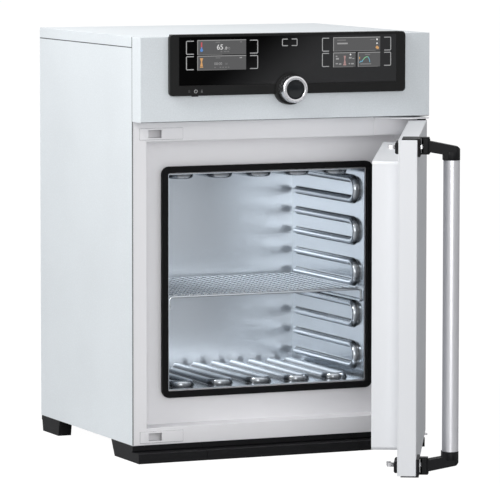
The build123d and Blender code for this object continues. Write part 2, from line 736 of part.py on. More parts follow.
def control_bezel():
    height = CABINET_TOP + BEZEL_OVER_TOP - BEZEL_BOTTOM
    mid_z = BEZEL_BOTTOM + height / 2
    outline = RectangleRounded(BEZEL_WIDTH, height, BEZEL_CORNER)
    bezel = front_slab(outline, BEZEL_FRONT, -FASCIA_DEPTH, 0, mid_z)
    lip_half = BEZEL_WIDTH / 2 - BEZEL_CORNER
    bezel += block(
        -lip_half, lip_half, -FASCIA_DEPTH, BEZEL_LIP_REACH - FASCIA_DEPTH,
        CABINET_TOP, CABINET_TOP + BEZEL_OVER_TOP,
    )
    glass_top = CABINET_TOP + BEZEL_OVER_TOP - GLASS_TOP_MARGIN
    half = GLASS_WIDTH / 2
    bezel -= block(-half, half, BEZEL_FRONT - 1, -FASCIA_DEPTH - BEZEL_BACK, GLASS_BOTTOM, glass_top)
    bezel += rod_y(KNOB_X, BOSS_FRONT, -FASCIA_DEPTH, KNOB_Z, BOSS_RADIUS)
    bezel += rod_y(KNOB_X, BOSS_FRONT - STUB_LENGTH, BOSS_FRONT, KNOB_Z, STUB_RADIUS)
    bezel -= rod_y(KNOB_X, BOSS_FRONT - STUB_LENGTH - 1, 1 - FASCIA_DEPTH, KNOB_Z, STUB_BORE)
    return bezel - power_pocket()


def control_glass():
    glass_top = CABINET_TOP + BEZEL_OVER_TOP - GLASS_TOP_MARGIN
    half = GLASS_WIDTH / 2 - GLASS_FIT
    front = BEZEL_FRONT + GLASS_INSET
    glass = block(
        -half, half, front, front + GLASS_THICKNESS, GLASS_BOTTOM + GLASS_FIT, glass_top - GLASS_FIT
    )
    return glass - rod_y(KNOB_X, front - 1, front + GLASS_THICKNESS + 1, KNOB_Z, BOSS_RADIUS + GLASS_FIT)


def display(x):
    front = BEZEL_FRONT + GLASS_INSET + GLASS_THICKNESS + DISPLAY_GAP
    back = -FASCIA_DEPTH - BEZEL_BACK
    return front_slab(Rectangle(DISPLAY_WIDTH, DISPLAY_HEIGHT), front, back, x, DISPLAY_MID_Z)


def rotary_encoder():
    back = SHEET - FASCIA_DEPTH
    half = ENCODER_SIZE / 2
    body = block(KNOB_X - half, KNOB_X + half, back, back + ENCODER_DEPTH, KNOB_Z - half, KNOB_Z + half)
    stem_front = BOSS_FRONT - STUB_LENGTH - 2 * BUTTON_TRAVEL + PLUNGER_LENGTH + BUTTON_TRAVEL + RING_GAP
    return body + rod_y(KNOB_X, stem_front, back, KNOB_Z, ENCODER_STEM_RADIUS)


def turn_ring():
    rear = BOSS_FRONT - RING_GAP
    front = rear - RING_LENGTH
    ring = rod_y(KNOB_X, front, rear, KNOB_Z, RING_RADIUS)
    ring -= rod_y(KNOB_X, front - 1, rear - RING_WEB, KNOB_Z, RING_BORE)
    return ring - rod_y(KNOB_X, rear - RING_WEB - 1, rear + 1, KNOB_Z, STUB_RADIUS + RING_PLAY)


def confirm_button():
    back = BOSS_FRONT - STUB_LENGTH - 2 * BUTTON_TRAVEL
    radius = RING_BORE - BUTTON_PLAY
    cap = rod_y(KNOB_X, back - BUTTON_LENGTH, back, KNOB_Z, radius)
    plunger = RegularPolygon(PLUNGER_RADIUS, 6)
    return cap + front_slab(plunger, back, back + PLUNGER_LENGTH, KNOB_X, KNOB_Z)


def power_box(margin, z0, z1):
    y = BEZEL_FRONT + BEZEL_THICKNESS / 2
    half_x = POWER_LENGTH / 2 + margin
    half_y = POWER_WIDTH / 2 + margin
    return block(POWER_X - half_x, POWER_X + half_x, y - half_y, y + half_y, z0, z1)


def power_pocket():
    top = BEZEL_BOTTOM - POWER_PROUD + POWER_HEIGHT + POWER_TRAVEL + POWER_PLAY
    return power_box(POWER_PLAY, BEZEL_BOTTOM - 1, top)


def power_button():
    bottom = BEZEL_BOTTOM - POWER_PROUD
    return power_box(0, bottom, bottom + POWER_HEIGHT)


def mains_inlet():
    """Appliance inlet for a detachable mains lead: flange, shroud and three blades."""
    back = CABINET_REAR
    flange = front_slab(
        RectangleRounded(INLET_WIDTH, INLET_HEIGHT, INLET_WALL), back, back + INLET_FLANGE, INLET_X, INLET_Z
    )
    body_width = INLET_BODY_WIDTH - 2 * FILL_GAP
    body_height = INLET_BODY_HEIGHT - 2 * FILL_GAP
    body = front_slab(
        Rectangle(body_width, body_height), back - INLET_BODY_DEPTH, back, INLET_X, INLET_Z
    )
    inlet = flange + body
    mouth = back + INLET_FLANGE
    inlet -= front_slab(
        Rectangle(body_width - 2 * INLET_WALL, body_height - 2 * INLET_WALL),
        mouth - INLET_CAVITY_DEPTH, mouth + 1, INLET_X, INLET_Z,
    )
    for side in (-1, 0, 1):
        lift = BLADE_LIFT * (1 - 2 * abs(side))
        inlet += front_slab(
            Rectangle(INLET_WALL, 2 * INLET_WALL), mouth - INLET_CAVITY_DEPTH, mouth - INLET_FLANGE,
            INLET_X + side * BLADE_SPACING, INLET_Z + lift,
        )
    return inlet


# Feet


def front_foot(x0, x1):
    """A length of the front foot bar: a low bar ahead of the cabinet, grooved under the frame."""
    ledge = BAR_HEIGHT + BAR_GROOVE
    return side_slab(
        [
            (-BAR_FRONT, 0), (-BAR_FRONT, BAR_HEIGHT), (BAR_GROOVE_DEPTH, BAR_HEIGHT),
            (BAR_GROOVE_DEPTH, ledge), (BAR_FACE_SETBACK, ledge), (BAR_FACE_SETBACK, FOOT_HEIGHT),
            (BAR_REAR_TOP, FOOT_HEIGHT), (BAR_REAR_BOTTOM, 0),
        ],
        x0, x1,
    )


def rear_foot(side):
    rear = CABINET_REAR - REAR_FOOT_SETBACK
    front = rear - REAR_FOOT_DEPTH
    profile = [
        (front, FOOT_HEIGHT), (front + REAR_FOOT_TAPER, 0), (rear - REAR_FOOT_TAPER, 0), (rear, FOOT_HEIGHT)
    ]
    x0, x1 = sorted((side * HALF, side * (HALF - REAR_FOOT_WIDTH)))
    foot = side_slab(profile, x0, x1)
    x0, x1 = sorted((side * HALF, side * (HALF - REAR_FOOT_PAD_WIDTH)))
    return foot + block(x0, x1, front, rear, FOOT_HEIGHT - REAR_FOOT_PAD, FOOT_HEIGHT)


# Hinges


def hinge_plate_z():
    """Underside of the upper hinge plate."""
    return LEAF_TOP + HINGE_BLOCK_PROUD + HINGE_PLAY


def hinge_bracket():
    z = hinge_plate_z()
    x0 = HALF - HINGE_BRACKET_WIDTH
    front = HINGE_Y - HINGE_PLATE_NOSE
    plate = top_slab(
        [
            (x0, 0), (x0, -HINGE_PLATE_TOE), (HINGE_X - 2.5 * HINGE_PLATE_NOSE, front),
            (HALF, front), (HALF, 0),
        ],
        z, z + HINGE_PLATE,
    )
    flange = block(x0, HALF, -HINGE_FLANGE_SHEET, 0, z + HINGE_PLATE - HINGE_BRACKET_HEIGHT, z + HINGE_PLATE)
    return plate + flange


def hinge_pin():
    return rod_z(HINGE_X, HINGE_Y, LEAF_TOP - PIN_REACH, hinge_plate_z(), PIN_RADIUS)


def hinge_block_outline(top):
    half = HINGE_BLOCK / 2
    return block(
        HINGE_X - half, HINGE_X + half, HINGE_Y - half, HINGE_Y + half, LEAF_TOP - HINGE_BLOCK_LENGTH, top
    )


def hinge_block():
    """Bearing block let into the leaf's corner, a little proud as a thrust face."""
    top = LEAF_TOP + HINGE_BLOCK_PROUD
    bore = rod_z(HINGE_X, HINGE_Y, LEAF_TOP - PIN_REACH - 1, top + 1, PIN_RADIUS + PIN_CLEARANCE)
    return hinge_block_outline(top) - bore


def latch_channel():
    """The slot that the upper hook passes through, from face to face of the door."""
    half = CHANNEL_WIDTH / 2
    tall = CHANNEL_HEIGHT / 2
    return block(
        PIVOT_X - half, PIVOT_X + half, LEAF_OUTER - PLATE_THICKNESS - 1, LEAF_INNER + 1,
        HOOK_MID_Z - tall, HOOK_MID_Z + tall,
    )


def both_ends(solid):
    return [solid, at_bottom(solid)]


# Door


def door_outer_panel():
    leaf = block(-HALF, HALF, LEAF_OUTER, LEAF_INNER - SHEET, LEAF_BOTTOM, LEAF_TOP)
    leaf = chamfer(leaf.faces().sort_by(Axis.Y)[0].edges(), LEAF_BEVEL)
    leaf -= block(
        SHEET - HALF, HALF - SHEET, LEAF_OUTER + SHEET, LEAF_INNER + 1,
        LEAF_BOTTOM + SHEET, LEAF_TOP - SHEET,
    )
    return leaf - both_ends(hinge_block_outline(LEAF_TOP + 1)) - both_ends(latch_channel())


def door_inner_panel():
    """Pressed inner skin: a flat border and the deep plug that fills the frame's recess."""
    skin = block(-HALF, HALF, LEAF_INNER - SHEET, LEAF_INNER, LEAF_BOTTOM, LEAF_TOP)
    outline = RectangleRounded(PLUG_WIDTH, PLUG_HEIGHT, PLUG_CORNER)
    plug = front_slab(outline, LEAF_INNER - SHEET, PLUG_FACE, 0, CHAMBER_MID_Z)
    inside = RectangleRounded(PLUG_WIDTH - 2 * SHEET, PLUG_HEIGHT - 2 * SHEET, PLUG_CORNER - SHEET)
    hollow = front_slab(inside, LEAF_INNER - SHEET - 1, PLUG_FACE - SHEET, 0, CHAMBER_MID_Z)
    panel = skin + plug - hollow
    return panel - both_ends(hinge_block_outline(LEAF_TOP + 1)) - both_ends(latch_channel())


def door_insulation():
    edge = HALF - SHEET - FILL_GAP
    back = LEAF_INNER - SHEET
    leaf = block(
        -edge, edge, LEAF_OUTER + SHEET + FILL_GAP, back - FILL_GAP,
        LEAF_BOTTOM + SHEET + FILL_GAP, LEAF_TOP - SHEET - FILL_GAP,
    )
    inset = 2 * (SHEET + FILL_GAP)
    core = RectangleRounded(PLUG_WIDTH - inset, PLUG_HEIGHT - inset, PLUG_CORNER - SHEET)
    fill = leaf + front_slab(core, back - 2 * FILL_GAP, PLUG_FACE - SHEET - FILL_GAP, 0, CHAMBER_MID_Z)
    channel = latch_channel()
    corner = block(
        HINGE_X - HINGE_BLOCK / 2 - FILL_GAP, HALF, LEAF_OUTER, LEAF_INNER,
        LEAF_TOP - HINGE_BLOCK_LENGTH - FILL_GAP, LEAF_TOP,
    )
    return fill - both_ends(channel) - both_ends(corner)


def latch_guide():
    x0 = LEAF_EDGE + GUIDE_FROM_EDGE
    z0 = HOOK_MID_Z - GUIDE_HEIGHT / 2
    guide = block(x0, x0 + GUIDE_LENGTH, LEAF_INNER, LEAF_INNER + GUIDE_THICKNESS, z0, z0 + GUIDE_HEIGHT)
    guide = chamfer(guide.faces().sort_by(Axis.Y)[-1].edges(), GUIDE_BEVEL)
    half = GUIDE_SLOT / 2
    tall = CHANNEL_HEIGHT / 2
    return guide - block(
        PIVOT_X - half, PIVOT_X + half, LEAF_INNER - 1, LEAF_INNER + GUIDE_THICKNESS + 1,
        HOOK_MID_Z - tall, HOOK_MID_Z + tall,
    )


# Handle


def hub_z():
    """Bottom and top of the upper hub."""
    top = LEAF_TOP + HUB_TOP_PROUD
    return top - HUB_HEIGHT, top


def handle_bracket():
    """Plastic bracket on the leaf's corner, with two ears for the handle's pin."""
    low, high = hub_z()
    base_front = LEAF_OUTER - PLATE_THICKNESS
    bracket = block(
        LEAF_EDGE, LEAF_EDGE + PLATE_LENGTH, base_front, LEAF_OUTER, LEAF_TOP - PLATE_HEIGHT, LEAF_TOP
    )
    bracket += block(
        LEAF_EDGE, LEAF_EDGE + PLATE_LENGTH, base_front, LEAF_OUTER + LIP_REACH,
        LEAF_TOP, LEAF_TOP + LIP_THICKNESS,
    )
    half = EAR_LENGTH / 2
    for z in (low - EAR_GAP - EAR_THICKNESS, high + EAR_GAP):
        bracket += block(
            PIVOT_X - half, PIVOT_X + half, LEAF_OUTER - HUB_OUTER, base_front, z, z + EAR_THICKNESS
        )
    return bracket - latch_channel()


def handle_pin():
    low, high = hub_z()
    return rod_z(PIVOT_X, PIVOT_Y, low - EAR_GAP, high + EAR_GAP, HANDLE_PIN_RADIUS)


def handle_pin_bore():
    low, high = hub_z()
    return rod_z(PIVOT_X, PIVOT_Y, low - 1, high + 1, HANDLE_PIN_RADIUS + HANDLE_PIN_PLAY)


def latch_hook():
    """Flat steel hook on the handle's pin, with its toe towards the hinge side."""
    half = HOOK_WIDTH / 2
    z0 = HOOK_MID_Z - HOOK_THICKNESS / 2
    z1 = z0 + HOOK_THICKNESS
    tip = PIVOT_Y + HOOK_TIP
    eye = HOOK_EYE / 2
    hook = block(PIVOT_X - half, PIVOT_X + half, PIVOT_Y, tip, z0, z1)
    hook += block(PIVOT_X - half, PIVOT_X + HOOK_TOE_REACH, tip - HOOK_TOE_DEPTH, tip, z0, z1)
    hook += block(PIVOT_X - eye, PIVOT_X + eye, PIVOT_Y - eye, PIVOT_Y + eye, z0, z1)
    return hook - handle_pin_bore()


def hook_slot():
    """The room that the hook takes in the hub."""
    z0 = HOOK_MID_Z - HOOK_THICKNESS / 2
    z1 = z0 + HOOK_THICKNESS
    eye = HOOK_EYE / 2
    half = HOOK_WIDTH / 2
    slot = block(PIVOT_X - eye, PIVOT_X + eye, PIVOT_Y - eye, PIVOT_Y + eye, z0, z1)
    return slot + block(PIVOT_X - half, PIVOT_X + half, PIVOT_Y, LEAF_OUTER, z0, z1)


def tube_end_z():
    """Top end of the handle tube."""
    return LEAF_TOP - TUBE_END_DROP


def handle_arm():
    """Black elbow: hub round the pin, falling arm, and a collar over the tube's end."""
    low, high = hub_z()
    half = HUB_LENGTH / 2
    inner = LEAF_OUTER - HUB_FROM_FACE
    outer = LEAF_OUTER - HUB_OUTER
    hub = block(PIVOT_X - half, PIVOT_X + half, outer, inner, low, high)
    hub = chamfer(hub.edges().filter_by(Axis.Z).group_by(Axis.Y)[0], HUB_CORNER)
    tube_y = LEAF_OUTER - TUBE_FROM_FACE
    radius = TUBE_RADIUS + COLLAR_OVERSIZE
    root_top = LEAF_TOP - ARM_ROOT_TOP_DROP
    end_z = tube_end_z()
    profile = [
        (inner - 1, root_top), (inner - 1, root_top - ARM_ROOT_HEIGHT),
        (tube_y + radius, root_top - ARM_ROOT_HEIGHT - ARM_FALL / 2), (tube_y + radius, end_z),
        (tube_y - radius, end_z), (tube_y - radius, root_top - ARM_FALL - ELBOW_RADIUS / 2),
        (tube_y - radius + ELBOW_RADIUS / 2, root_top - ARM_FALL),
    ]
    arm = side_slab(profile, PIVOT_X - ARM_WIDTH / 2, PIVOT_X + ARM_WIDTH / 2)
    rounding = rod_z(PIVOT_X, tube_y, end_z, root_top, radius) + block(
        PIVOT_X - ARM_WIDTH / 2, PIVOT_X + ARM_WIDTH / 2, tube_y, inner, low - HUB_HEIGHT, high
    )
    arm = arm & rounding
    collar = rod_z(PIVOT_X, tube_y, end_z, root_top - ARM_FALL - ELBOW_RADIUS, radius)
    spigot = top_slab(
        [
            (PIVOT_X + math.cos(turn) * SPIGOT_RADIUS, tube_y + math.sin(turn) * SPIGOT_RADIUS)
            for turn in [index * math.pi / 4 for index in range(8)]
        ],
        end_z - SPIGOT_LENGTH, end_z,
    )
    elbow = hub + arm + collar + spigot
    return elbow - handle_pin_bore() - hook_slot()


def handle_tube():
    tube_y = LEAF_OUTER - TUBE_FROM_FACE
    high = tube_end_z()
    low = 2 * LEAF_MID_Z - high
    tube = rod_z(PIVOT_X, tube_y, low, high, TUBE_RADIUS)
    return tube - rod_z(PIVOT_X, tube_y, low - 1, high + 1, TUBE_RADIUS - TUBE_WALL)


# Shelf


def shelf_hoop(y):
    """A cross wire that drops at both ends to the side rails."""
    path = FilletPolyline(
        (-SHELF_X, y, SHELF_RAIL_Z), (-SHELF_X, y, SHELF_TOP_Z), (SHELF_X, y, SHELF_TOP_Z),
        (SHELF_X, y, SHELF_RAIL_Z), radius=SHELF_BEND,
    )
    section = Plane(origin=path @ 0, z_dir=path % 0) * RegularPolygon(HOOP_WIRE, WIRE_SIDES)
    return sweep(section, path)


def shelf_frame():
    rear = SHELF_Y + SHELF_DEPTH
    frame = shelf_hoop(SHELF_Y) + shelf_hoop(rear)
    for side in (-1, 1):
        rail = RegularPolygon(SHELF_WIRE, WIRE_SIDES)
        frame += front_slab(rail, SHELF_Y - SHELF_WIRE, rear + SHELF_WIRE, side * SHELF_X, SHELF_RAIL_Z)
    return frame


def shelf_grid():
    """Lengthwise wires lying on the hoops, and cross wires under them."""
    rear = SHELF_Y + SHELF_DEPTH
    half = SHELF_X - GRID_SIDE_MARGIN
    long_z = SHELF_TOP_Z + HOOP_WIRE + GRID_WIRE
    cross_z = long_z - 2 * GRID_WIRE
    wires = []
    for index in range(GRID_LONG_COUNT):
        x = -half + index * 2 * half / (GRID_LONG_COUNT - 1)
        wires.append(front_slab(RegularPolygon(GRID_WIRE, WIRE_SIDES), SHELF_Y, rear, x, long_z))
    pitch = SHELF_DEPTH / (GRID_CROSS_COUNT + 1)
    for index in range(GRID_CROSS_COUNT):
        y = SHELF_Y + (index + 1) * pitch
        section = Plane(origin=(-half, y, cross_z), x_dir=(0, 1, 0), z_dir=(1, 0, 0))
        wires.append(extrude(section * RegularPolygon(GRID_WIRE, WIRE_SIDES), 2 * half))
    return group(wires)


def housing_parts():
    return {
        "side_panel_left": side_panel(-1),
        "side_panel_right": side_panel(1),
        "top_cover": top_cover(),
        "rear_panel": rear_panel(),
        "base_plate": base_plate(),
        "front_frame": front_frame(),
        "door_gasket": door_gasket(),
        "strike_plate_top": strike_plate(),
        "strike_plate_bottom": at_bottom(strike_plate()),
        "frame_screws": frame_screws(),
        "hinge_bracket_top": hinge_bracket(),
        "hinge_bracket_bottom": at_bottom(hinge_bracket()),
        "hinge_pins": group(both_ends(hinge_pin())),
        "front_foot_left": front_foot(-HALF, CORNER_FOOT_LENGTH - HALF),
        "front_foot_middle": front_foot(
            CORNER_FOOT_LENGTH - HALF + FOOT_SEAM, HALF - CORNER_FOOT_LENGTH - FOOT_SEAM
        ),
        "front_foot_right": front_foot(HALF - CORNER_FOOT_LENGTH, HALF),
        "rear_foot_left": rear_foot(-1),
        "rear_foot_right": rear_foot(1),
        "rear_screws": rear_screws(),
        "mains_inlet": mains_inlet(),
    }


def chamber_parts():
    planes = wall_planes()
    tall = (CHAMBER_HEIGHT / 2, RIB_PITCH_TALL)
    wide = (LINER_HALF_WIDTH, RIB_PITCH_WIDE)
    sizes = {"left": tall, "right": tall, "floor": wide, "ceiling": wide}
    parts = {}
    for name, plane in planes.items():
        half, pitch = sizes[name]
        parts["ribbed_wall_" + name] = ribbed_wall(plane, half, pitch)
        parts["heating_mat_" + name] = heating_mat(plane, half)
    parts["chamber_back_wall"] = chamber_back_wall()
    parts["insulation_jacket"] = insulation_jacket()
    parts["air_flap"] = air_flap()
    parts["flap_motor"] = flap_motor()
    parts["temperature_sensor"] = temperature_sensor()
    parts["shelf_frame"] = shelf_frame()
    parts["shelf_grid"] = shelf_grid()
    return parts


def control_parts():
    return {
        "electronics_tray": electronics_tray(),
        "power_board": power_board(),
        "control_fascia": control_fascia(),
        "control_board": control_board(),
        "control_bezel": control_bezel(),
        "control_glass": control_glass(),
        "display_left": display(LEFT_DISPLAY_X),
        "display_right": display(RIGHT_DISPLAY_X),
        "rotary_encoder": rotary_encoder(),
        "turn_ring": turn_ring(),
        "confirm_button": confirm_button(),
        "power_button": power_button(),
    }


def door_parts():
    closed = {
        "door_outer_panel": door_outer_panel(),
        "door_inner_panel": door_inner_panel(),
        "door_insulation": door_insulation(),
        "hinge_blocks": group(both_ends(hinge_block())),
        "handle_brackets": group(both_ends(handle_bracket())),
        "latch_guides": group(both_ends(latch_guide())),
        "handle_pins": group(both_ends(handle_pin())),
        "handle_tube": release(handle_tube()),
        "handle_arms": release(group(both_ends(handle_arm()))),
        "latch_hooks": release(group(both_ends(latch_hook()))),
    }
    return {name: swing_open(solid) for name, solid in closed.items()}


def main():
    os.makedirs("parts", exist_ok=True)
    parts = {**housing_parts(), **chamber_parts(), **control_parts(), **door_parts()}
    for name, solid in parts.items():
        export_step(solid, os.path.join("parts", name + ".step"))
    return parts


main()
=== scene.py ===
"""Looks of the bench oven: materials, drawn ribs, wires, knob, printed marks, light and camera."""

import math

import bmesh
import bpy
from mathutils import Matrix, Vector


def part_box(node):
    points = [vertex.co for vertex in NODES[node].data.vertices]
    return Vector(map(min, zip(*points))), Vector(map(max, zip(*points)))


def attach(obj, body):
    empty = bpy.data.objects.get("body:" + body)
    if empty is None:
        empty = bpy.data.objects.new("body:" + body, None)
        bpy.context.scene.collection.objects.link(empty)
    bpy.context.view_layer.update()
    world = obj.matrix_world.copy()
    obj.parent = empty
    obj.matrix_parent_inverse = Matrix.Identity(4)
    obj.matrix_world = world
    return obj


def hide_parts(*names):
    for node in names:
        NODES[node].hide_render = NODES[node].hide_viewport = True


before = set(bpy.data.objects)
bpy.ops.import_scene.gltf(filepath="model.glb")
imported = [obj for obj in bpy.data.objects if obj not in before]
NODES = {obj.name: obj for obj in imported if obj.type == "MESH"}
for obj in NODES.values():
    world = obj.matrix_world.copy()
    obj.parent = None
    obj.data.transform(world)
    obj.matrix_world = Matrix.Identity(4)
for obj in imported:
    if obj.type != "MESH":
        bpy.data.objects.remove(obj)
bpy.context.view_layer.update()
MM = 0.001


# Materials

GRAIN_DETAIL = 3.0
GRAIN_LOW, GRAIN_HIGH = 0.25, 0.75
CLOUD_SCALE, CLOUD_DETAIL = 6.0, 2.0
TINT_LOW, TINT_HIGH = 0.3, 0.7
PIXELS_PER_METRE = 4000.0
PIXEL_GAP = 0.93
SCREEN_BLACK = (0.01, 0.01, 0.01, 1)
# the glass's own black, and its colour where the painted reflection is full
GLASS_DARK, GLASS_PAINTED_REFLECTION = (0.0012, 0.0012, 0.0013), (0.040, 0.040, 0.041)
GLASS_GRAIN, GLASS_GRAIN_SCALE = 0.04, 900.0
# a painted reflection pales the glass where x less this many times z passes from the start to the end, in
# metres
REFLECTION_SLOPE = 1.35
REFLECTION_START, REFLECTION_END = -1.12, -0.92


def add(tree, kind, inputs=None, **settings):
    """A shader node; an input takes a value or another node's socket."""
    made = tree.nodes.new(kind)
    for key, value in settings.items():
        setattr(made, key, value)
    for key, value in (inputs or {}).items():
        if isinstance(value, bpy.types.NodeSocket):
            tree.links.new(value, made.inputs[key])
        else:
            made.inputs[key].default_value = value
    return made


def math_node(tree, operation, *values):
    """The result of one operation on numbers or sockets."""
    return add(tree, "ShaderNodeMath", dict(enumerate(values)), operation=operation).outputs[0]


def ramp(tree, factor, stops):
    """A colour ramp with its stops given as (place, colour)."""
    made = add(tree, "ShaderNodeValToRGB", {"Fac": factor})
    elements = made.color_ramp.elements
    while len(elements) < len(stops):
        elements.new(0.5)
    for element, (place, colour) in zip(elements, stops):
        element.position = place
        element.color = (*colour, 1.0)
    return made.outputs["Color"]


def blank_material(name):
    """A material and its empty node tree."""
    material = bpy.data.materials.new(name)
    material.use_nodes = True
    material.node_tree.nodes.clear()
    return material, material.node_tree


def principled(tree, inputs, **uniform):
    """The shader, with its uniform values on its own sockets, and the output."""
    shader = add(tree, "ShaderNodeBsdfPrincipled", inputs)
    for key, value in uniform.items():
        shader.inputs[key.replace("_", " ")].default_value = value
    add(tree, "ShaderNodeOutputMaterial", {"Surface": shader.outputs[0]})


def surface(name, colour, vary, grain_scale, rough, bump, grain=(1, 1, 1), bump_depth=0.0001,
            pattern="noise", shade=None, **uniform):
    """Principled material with fine grain, slow colour change and relief in object space.

    shade names a colour attribute of the mesh that darkens the tint with painted shade, such as the shade
    painted into the creases at the feet of pressed ribs.
    """
    material, tree = blank_material(name)
    place = add(tree, "ShaderNodeTexCoord").outputs["Object"]
    scaled = add(tree, "ShaderNodeMapping", {"Vector": place, "Scale": grain}).outputs["Vector"]
    if pattern == "cells":
        fine = add(tree, "ShaderNodeTexVoronoi", {"Vector": scaled, "Scale": grain_scale}).outputs["Distance"]
    else:
        fine = add(
            tree, "ShaderNodeTexNoise", {"Vector": scaled, "Scale": grain_scale, "Detail": GRAIN_DETAIL}
        ).outputs["Fac"]
    slow = add(
        tree, "ShaderNodeTexNoise", {"Vector": place, "Scale": CLOUD_SCALE, "Detail": CLOUD_DETAIL}
    ).outputs["Fac"]
    mixed = math_node(tree, "MULTIPLY_ADD", fine, 0.5, math_node(tree, "MULTIPLY", slow, 0.5))
    low = [c * (1 - vary) for c in colour]
    high = [min(1.0, c * (1 + vary)) for c in colour]
    tint = ramp(tree, mixed, [(TINT_LOW, low), (TINT_HIGH, high)])
    if shade:
        painted_shade = add(tree, "ShaderNodeAttribute", attribute_name=shade).outputs["Color"]
        tint = add(
            tree, "ShaderNodeMix", {"Factor": 1.0, "A": tint, "B": painted_shade},
            data_type="RGBA", blend_type="MULTIPLY",
        ).outputs["Result"]
    roughness = add(
        tree, "ShaderNodeMapRange",
        {"Value": fine, "From Min": GRAIN_LOW, "From Max": GRAIN_HIGH, "To Min": rough[0],
         "To Max": rough[1]},
    ).outputs["Result"]
    relief = add(
        tree, "ShaderNodeBump", {"Height": fine, "Strength": bump, "Distance": bump_depth}
    ).outputs["Normal"]
    principled(tree, {"Base Color": tint, "Roughness": roughness, "Normal": relief}, **uniform)
    return material


def lit(name, colour):
    """A screen colour that glows, with the faint grid of its pixels."""
    material, tree = blank_material(name)
    place = add(tree, "ShaderNodeTexCoord").outputs["Object"]
    dots = add(
        tree, "ShaderNodeTexChecker",
        {"Vector": place, "Scale": PIXELS_PER_METRE, "Color1": (*colour, 1),
         "Color2": (*[c * PIXEL_GAP for c in colour], 1)},
    ).outputs["Color"]
    principled(
        tree, {"Base Color": SCREEN_BLACK, "Emission Color": dots},
        Emission_Strength=1.0, Roughness=0.25, Specular_IOR_Level=0.1,
    )
    return material


def smoked_glass():
    """Black-backed glass with a painted reflection that lightens it towards the lower right of the panel."""
    material, tree = blank_material("smoked_glass")
    place = add(tree, "ShaderNodeTexCoord").outputs["Object"]
    parts = add(tree, "ShaderNodeSeparateXYZ", {"Vector": place}).outputs
    # painted reflection: the glass lightens towards the lower right of the panel
    slant = math_node(tree, "ADD", parts["X"], math_node(tree, "MULTIPLY", parts["Z"], -REFLECTION_SLOPE))
    painted_reflection = add(
        tree, "ShaderNodeMapRange", {"Value": slant, "From Min": REFLECTION_START, "From Max": REFLECTION_END},
        interpolation_type="SMOOTHSTEP",
    ).outputs["Result"]
    grain = add(tree, "ShaderNodeTexNoise", {"Vector": place, "Scale": GLASS_GRAIN_SCALE}).outputs["Fac"]
    mixed = math_node(tree, "ADD", painted_reflection, math_node(tree, "MULTIPLY", grain, GLASS_GRAIN))
    tint = ramp(tree, mixed, [(0.0, GLASS_DARK), (1.0, GLASS_PAINTED_REFLECTION)])
    principled(tree, {"Base Color": tint}, Roughness=0.06, Specular_IOR_Level=0.06)
    return material


HOUSING = surface(
    "embossed_steel", (0.745, 0.785, 0.81), vary=0.04, grain_scale=430.0, rough=(0.40, 0.54), bump=0.5,
    bump_depth=0.00012, pattern="cells", Metallic=0.15,
)
FRONT = surface(
    "fine_front_steel", (0.86, 0.853, 0.868), vary=0.015, grain=(1, 1, 30), grain_scale=260.0,
    rough=(0.40, 0.50), bump=0.06, bump_depth=0.00004, Metallic=0.15,
)
DOOR = surface(
    "door_steel", (0.75, 0.76, 0.78), vary=0.015, grain=(1, 1, 24), grain_scale=240.0,
    rough=(0.40, 0.50), bump=0.06, bump_depth=0.00004, Metallic=0.15, Specular_IOR_Level=0.3,
)
CHAMBER = surface(
    "brushed_chamber_steel", (0.77, 0.825, 0.88), vary=0.015, grain=(1, 1, 16), grain_scale=220.0,
    rough=(0.27, 0.31), bump=0.0, bump_depth=0.00001, Metallic=0.8,
)
# painted shade: the ribs' colour attribute darkens this tint in the creases at their feet and on their lower
# flanks
RIBBED = surface(
    "drawn_chamber_steel", (0.68, 0.725, 0.775), vary=0.015, grain=(1, 16, 1), grain_scale=220.0,
    rough=(0.17, 0.21), bump=0.0, bump_depth=0.00001, shade="painted_crease_shade", Metallic=0.9,
)
WIRE = surface(
    "bright_wire", (0.66, 0.70, 0.74), vary=0.03, grain_scale=900.0, rough=(0.16, 0.26), bump=0.05,
    Metallic=1.0,
)
BRIGHT = surface(
    "bright_steel", (0.72, 0.72, 0.74), vary=0.03, grain_scale=700.0, rough=(0.22, 0.32), bump=0.05,
    Metallic=1.0,
)
TUBE = surface(
    "satin_tube", (0.75, 0.75, 0.78), vary=0.02, grain=(1, 1, 0.05), grain_scale=900.0,
    rough=(0.30, 0.40), bump=0.06, bump_depth=0.00004, Metallic=0.85,
)
KNOB = surface(
    "turned_metal", (0.78, 0.78, 0.80), vary=0.02, grain=(1, 12, 1), grain_scale=300.0,
    rough=(0.20, 0.30), bump=0.08, bump_depth=0.00004, Metallic=1.0,
)
PLASTIC = surface(
    "textured_black_plastic", (0.007, 0.007, 0.008), vary=0.10, grain_scale=1400.0, rough=(0.42, 0.58),
    bump=0.25, bump_depth=0.00008, Specular_IOR_Level=0.16,
)
BEZEL = surface(
    "satin_black_bezel", (0.017, 0.017, 0.017), vary=0.06, grain_scale=1600.0, rough=(0.34, 0.44),
    bump=0.12, bump_depth=0.00005, Specular_IOR_Level=0.10,
)
GLOSS = surface(
    "gloss_black_key", (0.012, 0.014, 0.016), vary=0.05, grain_scale=500.0, rough=(0.14, 0.20), bump=0.02,
    Specular_IOR_Level=0.3,
)
RUBBER = surface(
    "black_gasket", (0.004, 0.004, 0.0045), vary=0.12, grain_scale=700.0, rough=(0.5, 0.65), bump=0.3,
    Specular_IOR_Level=0.12,
)
HEATER = surface(
    "orange_silicone", (0.55, 0.16, 0.06), vary=0.08, grain_scale=260.0, rough=(0.55, 0.7), bump=0.3,
    bump_depth=0.0002, pattern="cells", Specular_IOR_Level=0.3,
)
